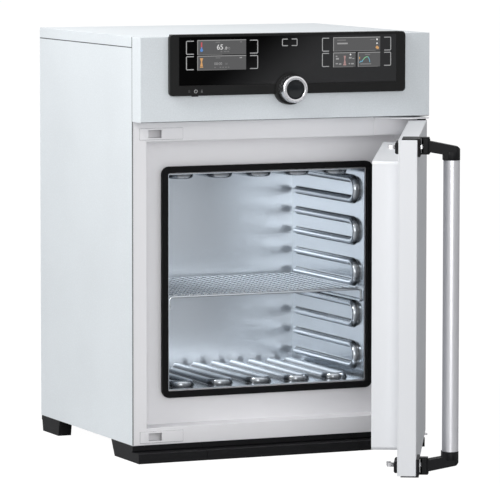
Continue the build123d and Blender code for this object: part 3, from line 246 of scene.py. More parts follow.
WOOL = surface(
    "mineral_wool", (0.72, 0.64, 0.45), vary=0.15, grain=(1, 1, 6), grain_scale=300.0, rough=(0.85, 1.0),
    bump=0.8, bump_depth=0.001, Specular_IOR_Level=0.1,
)
BOARD = surface(
    "circuit_green", (0.03, 0.18, 0.07), vary=0.2, grain_scale=260.0, rough=(0.35, 0.5), bump=0.2,
    pattern="cells", Specular_IOR_Level=0.4,
)
SCREEN = surface(
    "screen_grey", (0.10, 0.10, 0.11), vary=0.04, grain_scale=900.0, rough=(0.2, 0.3), bump=0.02,
    Specular_IOR_Level=0.2,
)
MARK = surface(
    "printed_grey", (0.50, 0.50, 0.50), vary=0.05, grain_scale=1500.0, rough=(0.5, 0.6), bump=0.02,
    Specular_IOR_Level=0.1,
)
DIM_MARK = surface(
    "printed_dark_grey", (0.13, 0.13, 0.13), vary=0.05, grain_scale=1500.0, rough=(0.5, 0.6), bump=0.02,
    Specular_IOR_Level=0.1,
)
SEAM = surface(
    "shadow_gap", (0.09, 0.095, 0.10), vary=0.1, grain_scale=900.0, rough=(0.6, 0.8), bump=0.1,
    Specular_IOR_Level=0.1,
)
GLASS = smoked_glass()
LIT_COLOURS = {
    "field": (0.10, 0.10, 0.102), "edge": (0.34, 0.34, 0.34), "dim": (0.20, 0.20, 0.20),
    "white": (0.80, 0.80, 0.80), "red": (0.55, 0.10, 0.12), "blue": (0.10, 0.26, 0.62),
    "orange": (0.66, 0.36, 0.14), "green": (0.22, 0.52, 0.30), "teal": (0.16, 0.42, 0.55),
    "rose": (0.42, 0.26, 0.25),
}
LIT = {kind: lit("screen_" + kind, colour) for kind, colour in LIT_COLOURS.items()}

BY_NODE = {
    HOUSING: ["side_panel_left", "side_panel_right", "top_cover", "rear_panel", "base_plate",
              "electronics_tray", "control_fascia"],
    FRONT: ["front_frame", "hinge_bracket_top", "hinge_bracket_bottom", "strike_plate_top",
            "strike_plate_bottom", "frame_screws"],
    DOOR: ["door_outer_panel", "door_inner_panel"],
    CHAMBER: ["ribbed_wall_left", "ribbed_wall_right", "ribbed_wall_floor", "ribbed_wall_ceiling",
              "chamber_back_wall", "air_flap"],
    WIRE: ["shelf_frame", "shelf_grid"],
    BRIGHT: ["rear_screws", "hinge_pins", "handle_pins", "latch_hooks", "temperature_sensor"],
    TUBE: ["handle_tube"],
    KNOB: ["turn_ring"],
    PLASTIC: ["hinge_blocks", "latch_guides", "handle_brackets", "handle_arms", "front_foot_left",
              "front_foot_middle", "front_foot_right", "rear_foot_left", "rear_foot_right",
              "rotary_encoder", "power_button", "mains_inlet", "flap_motor"],
    BEZEL: ["control_bezel"],
    GLOSS: ["confirm_button"],
    GLASS: ["control_glass"],
    SCREEN: ["display_left", "display_right"],
    RUBBER: ["door_gasket"],
    HEATER: ["heating_mat_left", "heating_mat_right", "heating_mat_floor", "heating_mat_ceiling"],
    WOOL: ["insulation_jacket", "door_insulation"],
    BOARD: ["control_board", "power_board"],
}
for material, names in BY_NODE.items():
    for name in names:
        finish = NODES[name].data.materials
        finish.clear()
        finish.append(material)


# Edges of the CAD pieces

WELD_DISTANCE = 1e-6
EDGE_SEGMENTS = 2
EDGE_ANGLE = 32
EDGE_WIDTH = {
    "side_panel_left": 0.5, "side_panel_right": 0.5, "top_cover": 0.6, "rear_panel": 0.4,
    "control_fascia": 0.6, "front_frame": 0.5, "door_outer_panel": 0.5, "door_inner_panel": 0.6,
    "control_bezel": 0.8, "handle_arms": 1.6, "handle_brackets": 0.6, "latch_guides": 0.8,
    "front_foot_left": 0.8, "front_foot_middle": 0.8, "front_foot_right": 0.8, "rear_foot_left": 1.0,
    "rear_foot_right": 1.0, "hinge_bracket_top": 0.4, "hinge_bracket_bottom": 0.4, "latch_hooks": 0.5,
    "hinge_blocks": 0.6, "mains_inlet": 0.4, "door_gasket": 1.5, "power_button": 0.4,
    "flap_motor": 1.0, "strike_plate_top": 0.25, "strike_plate_bottom": 0.25,
}


def soften_edges(obj, width):
    """Small rounds on the sharp edges, of a width in millimetres."""
    weld = obj.modifiers.new("weld", "WELD")
    weld.merge_threshold = WELD_DISTANCE
    bevel = obj.modifiers.new("edges", "BEVEL")
    bevel.width = width * MM
    bevel.segments = EDGE_SEGMENTS
    bevel.limit_method = "ANGLE"
    bevel.angle_limit = math.radians(EDGE_ANGLE)
    bevel.harden_normals = True
    bevel.use_clamp_overlap = True


for name, width in EDGE_WIDTH.items():
    soften_edges(NODES[name], width)


# Mesh building, in millimetres

MERGE_DISTANCE = 1e-7
BOX_FACES = ((0, 1, 3, 2), (4, 6, 7, 5), (0, 4, 5, 1), (2, 3, 7, 6), (0, 2, 6, 4), (1, 5, 7, 3))
TURNED_SIDES = 96
# a direction that no wire runs along
OFF_AXIS = Vector((0.31, 0.17, 0.93))


def piece(name, verts, faces, material, body, smooth=True, edge_angle=38.0, painted_shades=None):
    """A piece from points in the model's own frame, with a painted shade for each point if given."""
    mesh = bpy.data.meshes.new(name)
    mesh.from_pydata([Vector(v) * MM for v in verts], [], faces)
    if painted_shades:
        # a colour attribute that holds the painted shade of each point
        painted_crease_shade = mesh.color_attributes.new("painted_crease_shade", "FLOAT_COLOR", "POINT")
        for item, painted_shade in zip(painted_crease_shade.data, painted_shades):
            item.color = (painted_shade, painted_shade, painted_shade, 1.0)
    work = bmesh.new()
    work.from_mesh(mesh)
    bmesh.ops.remove_doubles(work, verts=work.verts, dist=MERGE_DISTANCE)
    bmesh.ops.recalc_face_normals(work, faces=work.faces)
    for face in work.faces:
        face.smooth = smooth
    limit = math.radians(edge_angle)
    for edge in work.edges:
        if len(edge.link_faces) == 2 and edge.calc_face_angle(0.0) > limit:
            edge.smooth = False
    work.to_mesh(mesh)
    work.free()
    obj = bpy.data.objects.new(name, mesh)
    bpy.context.scene.collection.objects.link(obj)
    mesh.materials.append(material)
    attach(obj, body)
    return obj


def box_mm(node):
    """A CAD node's lowest and highest corner, without rounding dust."""
    return [[round(value / MM, 4) for value in corner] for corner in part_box(node)]


def numbered(faces, start):
    """The same faces for points that begin at another number."""
    return [tuple(start + i for i in face) for face in faces]


def grid_faces(rows, columns, start=0, closed=False):
    """Quads between successive rows of points; closed joins each row's two ends."""
    faces = []
    for r in range(rows - 1):
        for c in range(columns if closed else columns - 1):
            a = start + r * columns + c
            b = start + r * columns + (c + 1) % columns
            faces.append((a, b, b + columns, a + columns))
    return faces


def ring(radius, sides):
    """Points round a circle."""
    angles = [2 * math.pi * k / sides for k in range(sides)]
    return [(radius * math.cos(a), radius * math.sin(a)) for a in angles]


def arc(cx, cy, radius, start, end, steps=6):
    """Points along an arc between two angles in degrees."""
    angles = [math.radians(start + (end - start) * i / steps) for i in range(steps + 1)]
    return [(cx + radius * math.cos(a), cy + radius * math.sin(a)) for a in angles]


def turned(name, profile, centre, material, body):
    """Revolves (radius, y) points round a line along Y through centre."""
    cx, cy, cz = centre
    verts = []
    for radius, along in profile:
        verts += [(cx + u, cy + along, cz + v) for u, v in ring(radius, TURNED_SIDES)]
    faces = grid_faces(len(profile), TURNED_SIDES, closed=True)
    return piece(name, verts, faces, material, body)


def wire_mesh(paths, radius, sides=10):
    """Round wires along lists of points, as vertices and faces with closed ends."""
    verts, faces = [], []
    for path in paths:
        points = [Vector(p) for p in path]
        start = len(verts)
        tangent = (points[1] - points[0]).normalized()
        side = tangent.cross(OFF_AXIS).normalized()
        for i, point in enumerate(points):
            ahead = points[min(i + 1, len(points) - 1)] - points[max(i - 1, 0)]
            tangent = ahead.normalized()
            side = (side - side.dot(tangent) * tangent).normalized()
            up = tangent.cross(side)
            verts += [tuple(point + u * side + v * up) for u, v in ring(radius, sides)]
        faces += grid_faces(len(points), sides, start, closed=True)
        faces.append(tuple(range(start + sides - 1, start - 1, -1)))
        last = start + (len(points) - 1) * sides
        faces.append(tuple(range(last, last + sides)))
    return verts, faces


# Chamber walls with drawn ribs

CHAMBER_SHEET = 1.5
RIB_COUNT = 5
RIB_PITCH = 79.0
RIB_LEG = RIB_PITCH / 4
RIB_FRONT_MARGIN, RIB_REAR_MARGIN = 22.0, 17.0
RIB_HALF_WIDTH = 6.0
RIB_FRONT = RIB_FRONT_MARGIN + RIB_HALF_WIDTH + RIB_LEG
RIB_RUN_OUT = 12.0
RIB_BEND_STEPS = 32
RIB_SINK = 0.05
# where a rib runs out at its rear end, its painted crease shade is half as deep
RUN_OUT_SHADE_LIFT = 0.5
BACK = Vector((0, 1, 0))
LEG_STATIONS = (0.0, 1.2, 3.0, 5.5, 8.5, 12.0, 20.0, 60.0, 120.0, 180.0, 230.0)
# place across the rib, height over the wall, and the painted shade there: dark in the crease at the foot and
# on the lower flank, full at the crest
HALF_PROFILE = [(8.4, 0.0, 1.0), (7.6, 0.2, 0.45), (6.6, 0.9, 0.16), (5.95, 2.2, 0.16), (5.5, 4.2, 0.30),
                (4.9, 6.6, 0.55), (4.0, 8.7, 0.95), (2.7, 10.2, 1.0), (1.3, 10.85, 1.0), (0.0, 11.0, 1.0)]
PROFILE = HALF_PROFILE + [(-t, h, painted_shade) for t, h, painted_shade in reversed(HALF_PROFILE[:-1])]


def rib_leg(side, rear_end):
    """Stations of one leg from its rear end: point, sideways direction and share of the height."""
    leg = []
    for along in LEG_STATIONS:
        rise = math.sin(min(along / RIB_RUN_OUT, 1.0) * math.pi / 2)
        leg.append(((rear_end - along, side * RIB_LEG), (0.0, side), rise))
    return leg


def rib_path(rear_end):
    """Stations along one U, from the rear end of one leg to that of the other."""
    bend = []
    for i in range(RIB_BEND_STEPS + 1):
        a = math.radians(90 + 180 * i / RIB_BEND_STEPS)
        across = (math.cos(a), math.sin(a))
        bend.append(((RIB_FRONT + RIB_LEG * across[0], RIB_LEG * across[1]), across, 1.0))
    return rib_leg(1.0, rear_end) + bend + rib_leg(-1.0, rear_end)[::-1]


def ribbed_wall(node, across, inward):
    """A sheet with its row of U ribs, as deep and wide as the node it stands for, with painted shade in the
    ribs' creases.
    """
    low, high = [Vector(corner) for corner in box_mm(node)]
    across, inward = Vector(across), Vector(inward)
    depth = high.y - low.y
    half_width = (high - low).dot(across) / 2
    level = min(low.dot(inward), high.dot(inward)) + CHAMBER_SHEET
    origin = across * (low + high).dot(across) / 2 + BACK * low.y + inward * level

    def put(u, v, h):
        return tuple(origin + BACK * u + across * v + inward * h)

    verts, faces, painted_shades = [], [], []
    path = rib_path(depth - RIB_REAR_MARGIN)
    for index in range(RIB_COUNT):
        middle = (index - (RIB_COUNT - 1) / 2) * RIB_PITCH
        faces += grid_faces(len(path), len(PROFILE), len(verts))
        for (u, v), (nu, nv), rise in path:
            for t, h, painted_shade in PROFILE:
                verts.append(put(u + nu * t, middle + v + nv * t, h * rise - RIB_SINK))
                # painted shade along each rib's foot and lower flank, half as deep where the rib runs out
                painted_shades.append(painted_shade if rise > 0.5 else RUN_OUT_SHADE_LIFT + (1 - RUN_OUT_SHADE_LIFT) * painted_shade)
    faces += numbered(BOX_FACES, len(verts))
    sheet = [put(u, v, h) for u in (0, depth) for v in (-half_width, half_width)
             for h in (0, -CHAMBER_SHEET)]
    wall = piece("drawn_" + node, verts + sheet, faces, RIBBED, "cabinet",
                 edge_angle=60.0, painted_shades=painted_shades + [1.0] * len(sheet))
    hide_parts(node)


ribbed_wall("ribbed_wall_left", across=(0, 0, 1), inward=(1, 0, 0))
ribbed_wall("ribbed_wall_right", across=(0, 0, 1), inward=(-1, 0, 0))
ribbed_wall("ribbed_wall_floor", across=(1, 0, 0), inward=(0, 0, 1))
ribbed_wall("ribbed_wall_ceiling", across=(1, 0, 0), inward=(0, 0, -1))


# Wire shelf

RAIL_R, HOOP_R, HOOP_SIDES = 2.5, 2.3, 14
HOOP_BEND, HOOP_RISE = 6.0, 22.0
GRID_R, GRID_MARGIN = 1.25, 9.0
LONG_WIRES, CROSS_WIRES = 25, 19
SHELF_LOW, SHELF_HIGH = box_mm("shelf_frame")
SHELF_X = SHELF_HIGH[0] - RAIL_R
SHELF_Y0, SHELF_Y1 = SHELF_LOW[1] + RAIL_R, SHELF_HIGH[1] - RAIL_R
HOOP_Z = SHELF_HIGH[2] - HOOP_R
RAIL_Z = HOOP_Z - HOOP_RISE


def hoop(y):
    """A bent wire from rail to rail."""
    bend = arc(HOOP_BEND - SHELF_X, HOOP_Z - HOOP_BEND, HOOP_BEND, 180, 90)
    left = [(-SHELF_X, RAIL_Z)] + bend
    return [(x, y, z) for x, z in left + [(-x, z) for x, z in reversed(left)]]


def rail(x):
    """A straight wire along the depth, a little past the hoops."""
    return [(x, SHELF_Y0 - RAIL_R, RAIL_Z), (x, SHELF_Y1 + RAIL_R, RAIL_Z)]


def shelf_hoops():
    """The bent frame of the shelf: two hoops joined by two rails."""
    verts, faces = wire_mesh([hoop(SHELF_Y0), hoop(SHELF_Y1)], HOOP_R, HOOP_SIDES)
    more, extra = wire_mesh([rail(-SHELF_X), rail(SHELF_X)], RAIL_R, HOOP_SIDES)
    faces += numbered(extra, len(verts))
    made = piece("shelf_hoops", verts + more, faces, WIRE, "shelf")
    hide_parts("shelf_frame")


def shelf_wires():
    """The grid: wires along the depth on the hoops, and wires across under them."""
    half = SHELF_X - GRID_MARGIN
    upper = HOOP_Z + HOOP_R + GRID_R
    lower = upper - 2 * GRID_R
    wires = []
    for i in range(LONG_WIRES):
        x = -half + i * 2 * half / (LONG_WIRES - 1)
        wires.append([(x, SHELF_Y0, upper), (x, SHELF_Y1, upper)])
    for i in range(CROSS_WIRES):
        y = SHELF_Y0 + (i + 1) * (SHELF_Y1 - SHELF_Y0) / (CROSS_WIRES + 1)
        wires.append([(-half, y, lower), (half, y, lower)])
    verts, faces = wire_mesh(wires, GRID_R)
    made = piece("shelf_wires", verts, faces, WIRE, "shelf")
    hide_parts("shelf_grid")


shelf_hoops()
shelf_wires()


# Knob

RING_HOLE_R, SHAFT_BORE_R, WEB = 18.0, 6.05, 3.7
BACK_ROUND, RIM_ROUND, HOLE_ROUND = 0.8, 2.6, 1.4
BUTTON_LENGTH, BUTTON_ROUND, BUTTON_CHAMFER = 12.0, 1.6, 0.4
AXIS_R = 0.01
# radius and depth of the dish in the button's face
BUTTON_DISH = [(14.0, 0.15), (11.0, 0.65), (7.0, 1.1), (3.5, 1.3), (AXIS_R, 1.35)]


def knob_ring(radius, back, front, centre):
    """The turning ring, open in front down to the web round its shaft."""
    web_front = back - WEB
    profile = (
        [(SHAFT_BORE_R, back), (radius - BACK_ROUND, back)]
        + arc(radius - BACK_ROUND, back - BACK_ROUND, BACK_ROUND, 90, 0, 3)
        + arc(radius - RIM_ROUND, front + RIM_ROUND, RIM_ROUND, 0, -90, 8)
        + arc(RING_HOLE_R + HOLE_ROUND, front + HOLE_ROUND, HOLE_ROUND, -90, -180, 5)
        + [(RING_HOLE_R, web_front), (SHAFT_BORE_R, web_front), (SHAFT_BORE_R, back)]
    )
    made = turned("knob_ring", profile, centre, KNOB, "selector_ring")
    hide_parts("turn_ring")


def knob_button(radius, front, centre):
    """The dished button in the ring."""
    back = front + BUTTON_LENGTH
    profile = (
        [(AXIS_R, back), (radius - BUTTON_CHAMFER, back), (radius, back - BUTTON_CHAMFER)]
        + arc(radius - BUTTON_ROUND, front + BUTTON_ROUND, BUTTON_ROUND, 0, -90, 5)
        + [(r, front + depth) for r, depth in BUTTON_DISH]
    )
    made = turned("knob_button", profile, centre, GLOSS, "confirm_key")
    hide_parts("confirm_button")


def knob():
    """Both pieces, on the line through the middle of the ring."""
    (x0, front, z0), (x1, back, z1) = box_mm("turn_ring")
    centre = ((x0 + x1) / 2, 0.0, (z0 + z1) / 2)
    knob_ring((x1 - x0) / 2, back, front, centre)
    (x0, front, _), (x1, _, _) = box_mm("confirm_button")
    knob_button((x1 - x0) / 2, front, centre)


knob()


# Rear screws

HEAD_SIDES, HEAD_LOBES = 24, 6
# share of the head's radius, share of its height, depth of the lobes of its recess
HEAD_SHAPE = [(1.0, 0.0, 0.0), (1.0, 0.3, 0.0), (0.93, 0.75, 0.0), (0.78, 0.95, 0.0), (0.5, 1.0, 0.0),
              (0.5, 1.0, 0.16), (0.46, -0.5, 0.16), (0.0, -0.5, 0.16)]


def islands(node):
    """Lowest and highest corner of each separate part of a node's mesh."""
    work = bmesh.new()
    work.from_mesh(NODES[node].data)
    bmesh.ops.remove_doubles(work, verts=work.verts, dist=WELD_DISTANCE)
    found, seen = [], set()
    for start in work.verts:
        if start in seen:
            continue
        group, stack = [], [start]
        seen.add(start)
        while stack:
            vert = stack.pop()
            group.append(vert.co / MM)
            for edge in vert.link_edges:
                other = edge.other_vert(vert)
                if other not in seen:
                    seen.add(other)
                    stack.append(other)
        found.append([[pick(p[i] for p in group) for i in range(3)] for pick in (min, max)])
    work.free()
    return found


def screw_heads(node, name):
    """Domed heads with a lobed recess, facing +Y, where the node's heads are."""
    verts, faces = [], []
    for low, high in islands(node):
        cx, cz = (low[0] + high[0]) / 2, (low[2] + high[2]) / 2
        radius, height = (high[0] - low[0]) / 2, high[1] - low[1]
        faces += grid_faces(len(HEAD_SHAPE), HEAD_SIDES, len(verts), closed=True)
        for share, lift, lobes in HEAD_SHAPE:
            for k in range(HEAD_SIDES):
                a = 2 * math.pi * k / HEAD_SIDES
                r = radius * share * (1 - lobes * (0.5 - 0.5 * math.cos(HEAD_LOBES * a)))
                verts.append((cx + r * math.cos(a), low[1] + height * lift, cz + r * math.sin(a)))
    made = piece(name, verts, faces, BRIGHT, "cabinet", edge_angle=30.0)
    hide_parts(node)


screw_heads("rear_screws", "rear_screw_heads")


# Shadow gaps between the sheets of the housing

SEAM_PROUD, SEAM_DEPTH = 0.03, 0.3
SEAM_STOP = 1.0
COVER_SEAM_HALF = 0.9
# how far a seam reaches before and behind the joint
SIDE_SEAM, CORNER_SEAM, TOP_SEAM = (0.8, 1.0), (1.1, 1.7), (0.5, 0.7)
TOP_EDGE = 0.4
FRAME_SEAM = (0.9, 1.8)
FASCIA_SEAM = (0.2, 1.2)


def strips(name, boxes, material, body):
    """Flat strips, each given by its lowest and highest corner."""
    verts, faces = [], []
    for low, high in boxes:
        faces += numbered(BOX_FACES, len(verts))
        verts += [(x, y, z) for x in (low[0], high[0]) for y in (low[1], high[1]) for z in (low[2], high[2])]
    return piece(name, verts, faces, material, body, smooth=False)


def housing_seams():
    """Dark lines where the cover, side panels, front frame and fascia meet."""
    (_, front, joint_z), (half, rear, top_z) = box_mm("top_cover")
    foot_z = box_mm("side_panel_left")[0][2] + SEAM_STOP
    (_, fascia_front, fascia_z), _ = box_mm("control_fascia")
    end = half - SEAM_STOP
    boxes = []
    for side in (-1, 1):
        x0, x1 = sorted((side * (half + SEAM_PROUD), side * (half - SEAM_DEPTH)))
        boxes += [
            ((x0, front, joint_z - COVER_SEAM_HALF), (x1, rear - SEAM_STOP, joint_z + COVER_SEAM_HALF)),
            ((x0, front - SIDE_SEAM[0], foot_z), (x1, front + SIDE_SEAM[1], joint_z)),
            ((x0, front - CORNER_SEAM[0], joint_z), (x1, front + CORNER_SEAM[1], top_z - TOP_EDGE)),
        ]
        x0, x1 = sorted(side * (half - inset) for inset in FRAME_SEAM)
        boxes.append(((x0, front - SEAM_PROUD, foot_z), (x1, front + SEAM_DEPTH, fascia_z)))
    boxes += [
        ((-end, front - TOP_SEAM[0], top_z - SEAM_DEPTH), (end, front + TOP_SEAM[1], top_z + SEAM_PROUD)),
        ((-end, fascia_front - SEAM_PROUD, fascia_z + FASCIA_SEAM[0]),
         (end, fascia_front + SEAM_DEPTH, fascia_z + FASCIA_SEAM[1])),
    ]
    strips("housing_seams", boxes, SEAM, "cabinet")


housing_seams()


# Printed and lit marks, drawn as flat outlines of (x, z) points

GLASS_FRONT = box_mm("control_glass")[0][1]
GLASS_INSET = 0.8
BEZEL_FRONT = GLASS_FRONT - GLASS_INSET
FRAME_FRONT = box_mm("front_frame")[0][1]
MARK_THICK, BEZEL_MARK_THICK = 0.06, 0.05
# planes of the marks on the lit fields, of the curve over them and of the figures in front
ON_FIELD, ON_CURVE, ON_FIGURE = GLASS_FRONT - 0.06, GLASS_FRONT - 0.08, GLASS_FRONT - 0.10
BORDER, LOWER_BORDER = 1.3, 0.9
BRACKET_LINE, BRACKET_ROUND, SMALL_ROUND = 1.5, 1.6, 1.2
SHARPEST_MITRE = 0.5
printed = {}


def draw(kind, outline, y=ON_FIELD, thick=MARK_THICK):
    """Adds one outline that lies on the plane at y."""
    printed.setdefault(kind, []).append((outline, y, thick))


def bar(x0, x1, z0, z1):
    """An upright rectangle."""
    return [(x0, z0), (x1, z0), (x1, z1), (x0, z1)]


def disc(cx, cz, radius, sides=24):
    """A round spot."""
    return [(cx + u, cz + v) for u, v in ring(radius, sides)]


def stroke(kind, points, width, y, thick=MARK_THICK):
    """A line of constant width through the points, mitred at its corners."""
    left, right = [], []
    for i, (x, z) in enumerate(points):
        ax, az = points[max(i - 1, 0)]
        bx, bz = points[min(i + 1, len(points) - 1)]
        length = math.hypot(bx - ax, bz - az) or 1.0
        nx, nz = -(bz - az) / length, (bx - ax) / length
        reach = width / 2
        if 0 < i < len(points) - 1:
            leg = math.hypot(x - ax, z - az) or 1.0
            reach /= max(abs(-(z - az) / leg * nx + (x - ax) / leg * nz), SHARPEST_MITRE)
        left.append((x + nx * reach, z + nz * reach))
        right.append((x - nx * reach, z - nz * reach))
    for i in range(len(points) - 1):
        draw(kind, [left[i], left[i + 1], right[i + 1], right[i]], y, thick)


def bracket(x_line, x_tips, z0, z1, radius=BRACKET_ROUND):
    """A square bracket with rounded corners."""
    toward = 1 if x_tips > x_line else -1
    low = arc(0, 0, radius, 270, 180, 4)
    corner_low = [(x_line + toward * (radius + a), z0 + radius + b) for a, b in low]
    corner_high = [(x_line + toward * (radius + a), z1 - radius - b) for a, b in reversed(low)]
    stroke("mark", [(x_tips, z0)] + corner_low + corner_high + [(x_tips, z1)], BRACKET_LINE, GLASS_FRONT)


def key_brackets():
    """Brackets that mark the touch keys beside the displays and over the knob."""
    for x_line, x_tips in ((-205.2, -190.5), (-63.1, -78.5)):
        bracket(x_line, x_tips, 752.2, 775.9)
        bracket(x_line, x_tips, 723.9, 747.6)
    for x_line, x_tips in ((67.8, 81.4), (208.0, 194.4)):
        bracket(x_line, x_tips, 753.2, 777.2)
        bracket(x_line, x_tips, 724.8, 749.0)
    for x_line, x_tips in ((-13.3, -2.5), (16.3, 5.5)):
        bracket(x_line, x_tips, 764.7, 776.8, SMALL_ROUND)


def panel(x0, x1, z0, z1, bottom):
    """A lit field with bright top and left borders and a dim lower one over a share of its width."""
    draw("field", bar(x0, x1, z0, z1), GLASS_FRONT)
    draw("edge", bar(x0, x1, z1 - BORDER, z1))
    draw("edge", bar(x0, x0 + BORDER, z0, z1 - BORDER))
    draw("dim", bar(x0 + BORDER, x0 + BORDER + (x1 - x0 - BORDER) * bottom, z0, z0 + LOWER_BORDER))


def thermometer():
    """A red tube over a blue bulb."""
    draw("red", bar(-176.6, -173.9, 762.0, 773.6))
    draw("blue", disc(-175.2, 759.0, 2.9))
    draw("blue", bar(-176.3, -174.1, 760.5, 764.5), ON_FIGURE)


def hourglass():
    """Two funnels tip to tip between two caps."""
    draw("orange", [(-178.0, 743.6), (-172.6, 743.6), (-174.2, 737.4), (-176.4, 737.4)])
    draw("orange", [(-176.4, 737.4), (-174.2, 737.4), (-172.6, 730.0), (-178.0, 730.0)])
    draw("orange", bar(-178.4, -172.2, 743.0, 744.6), ON_FIGURE)
    draw("orange", bar(-178.4, -172.2, 727.4, 729.2), ON_FIGURE)


def left_display():
    """Temperature above, time below."""
    panel(-183.6, -86.4, 750.4, 777.6, 0.5)
    panel(-183.6, -86.4, 722.4, 748.9, 0.6)
    thermometer()
    draw("dim", bar(-147.5, -138.5, 772.6, 773.8))
    draw("dim", bar(-98.5, -94.5, 772.4, 774.0))
    draw("dim", bar(-137.5, -134.0, 755.0, 756.6))
    for i in range(4):
        draw("dim", bar(-131.0 + i * 2.9, -129.2 + i * 2.9, 755.0, 757.2))
    hourglass()
    draw("dim", bar(-147.0, -138.0, 744.0, 745.2))
    draw("edge", bar(-99.5, -94.5, 743.4, 745.4))
    for i in (0, 2, 3, 4, 5):
        draw("dim", bar(-150.0 + i * 5.4, -147.0 + i * 5.4, 726.4, 728.0))


SMALL_TEXT = ((95.0, 98.5, 742.2, 744.2), (95.5, 101.5, 737.2, 740.2), (95.0, 99.5, 728.6, 730.6),
              (101.5, 106.5, 727.8, 730.0), (122.0, 127.5, 738.6, 741.6), (129.0, 133.0, 737.8, 739.4),
              (121.5, 124.5, 728.2, 730.2), (126.5, 132.0, 727.8, 730.2))
CURVE = [(144.0, 730.5), (146.2, 733.6), (148.4, 732.4), (151.0, 736.0), (154.2, 739.4), (158.4, 741.6),
         (161.6, 740.8), (163.8, 736.8), (165.0, 731.2)]


def right_display():
    """Text above, a timer and a curve below."""
    panel(89.8, 186.2, 752.4, 778.4, 0.9)
    panel(89.8, 135.6, 723.0, 750.2, 0.9)
    panel(140.4, 186.2, 723.0, 750.2, 0.9)
    draw("dim", bar(98.0, 115.5, 772.2, 773.9))
    draw("edge", bar(98.0, 119.5, 765.4, 768.2))
    draw("dim", bar(165.8, 175.0, 773.0, 774.0))
    draw("white", disc(179.6, 773.4, 1.7))
    draw("white", disc(179.6, 766.2, 1.5))
    draw("orange", [(176.4, 758.6), (179.4, 762.0), (183.8, 758.8), (182.6, 755.4), (179.2, 755.8)])
    for corners in SMALL_TEXT:
        draw("edge", bar(*corners))
    draw("white", disc(125.2, 746.0, 1.5))
    draw("rose", [(111.2, 744.0), (115.8, 744.0), (114.4, 737.0), (112.6, 737.0)])
    draw("rose", [(112.6, 737.0), (114.4, 737.0), (115.8, 729.0), (111.2, 729.0)])
    draw("rose", bar(110.6, 116.4, 726.2, 728.6), ON_FIGURE)
    draw("dim", bar(155.0, 165.5, 745.0, 746.6))
    stroke("teal", CURVE[:4], 1.3, ON_CURVE)
    stroke("green", CURVE[3:7], 1.5, ON_CURVE)
    stroke("teal", CURVE[6:], 1.3, ON_CURVE)
    draw("edge", bar(145.5, 167.5, 727.6, 728.6))
    draw("orange", bar(143.2, 144.6, 737.4, 741.4))


def figures(text, size, x, z, kind):
    """Plain figures on a display, as flat outlines turned to face the front."""
    curve = bpy.data.curves.new("figures", "FONT")
    curve.body = text
    curve.size = size
    holder = bpy.data.objects.new("figures", curve)
    mesh = bpy.data.meshes.new_from_object(holder)
    for polygon in mesh.polygons:
        points = [mesh.vertices[i].co for i in polygon.vertices]
        draw(kind, [(x + p.x, z + p.y) for p in points])
    bpy.data.objects.remove(holder)
    bpy.data.curves.remove(curve)
    bpy.data.meshes.remove(mesh)


def bezel_marks():
    """Small generic signs in the lower edge of the bezel: bars, power sign and a round-topped figure."""
    flat = {"y": BEZEL_FRONT, "thick": BEZEL_MARK_THICK}
    for i in range(3):
        draw("dimmark", bar(-201.6, -198.4, 682.4 + i * 1.8, 683.0 + i * 1.8), **flat)
    draw("dimmark", [(-177.0, 681.8), (-173.0, 681.8), (-173.6, 684.6), (-174.2, 686.0), (-175.8, 686.0),
                     (-176.4, 684.6)], **flat)
    draw("dimmark", disc(-175.0, 687.0, 0.7, 12), **flat)
    x, z, radius, line, half_gap = -187.0, 684.4, 3.0, 0.9, 40
    stroke("mark", arc(x, z, radius, 90 - half_gap, half_gap - 270, 14), line, **flat)
    stroke("mark", [(x, z + 0.2), (x, z + 4.0)], line, **flat)


def strike_plate_shadows():
    """Thin lines round the strike plates, narrower above."""
    line, top_line, past = 0.5, 0.3, 0.4
    for node in ("strike_plate_top", "strike_plate_bottom"):
        (x0, _, z0), (x1, _, z1) = box_mm(node)
        for outline in (bar(x0 - past, x1 + past, z0 - line, z0),
                        bar(x0 - past, x1 + past, z1, z1 + top_line),
                        bar(x0 - line, x0, z0, z1), bar(x1, x1 + line, z0, z1)):
            draw("outline", outline, FRAME_FRONT, SEAM_PROUD)


key_brackets()
left_display()
right_display()
figures("65", 13.4, -145.2, 759.8, "white")
figures(".0", 7.2, -129.4, 759.8, "white")
figures("°C", 5.4, -124.0, 759.8, "edge")
figures("00:00", 7.0, -150.0, 731.6, "edge")
figures("00", 5.0, -128.4, 731.8, "dim")
bezel_marks()
strike_plate_shadows()

# what each kind of mark is made of, and its piece's name
KINDS = {
    "outline": (SEAM, "strike_plate_shadows"), "mark": (MARK, "control_glass_marks"),
    "dimmark": (DIM_MARK, "bezel_marks"), "field": (LIT["field"], "screen_fields"),
    "edge": (LIT["edge"], "screen_edges"), "dim": (LIT["dim"], "screen_dim_marks"),
    "white": (LIT["white"], "screen_figures"),
}
for kind in ("red", "blue", "orange", "green", "teal", "rose"):
    KINDS[kind] = (LIT[kind], "screen_" + kind + "_marks")


def mark_piece(kind, outlines):
    """One piece from all the outlines of a kind, each with its front face and its rim."""
    verts, faces = [], []
    for outline, y, thick in outlines:
        start, count = len(verts), len(outline)
        verts += [(x, y - thick, z) for x, z in outline] + [(x, y, z) for x, z in outline]
        faces.append(tuple(range(start, start + count)))
        for i in range(count):
            after = (i + 1) % count
            faces.append((start + i, start + after, start + count + after, start + count + i))
    material, name = KINDS[kind]
    piece(name, verts, faces, material, "cabinet", smooth=False)


for kind, outlines in printed.items():
    mark_piece(kind, outlines)


# Stage, light and camera

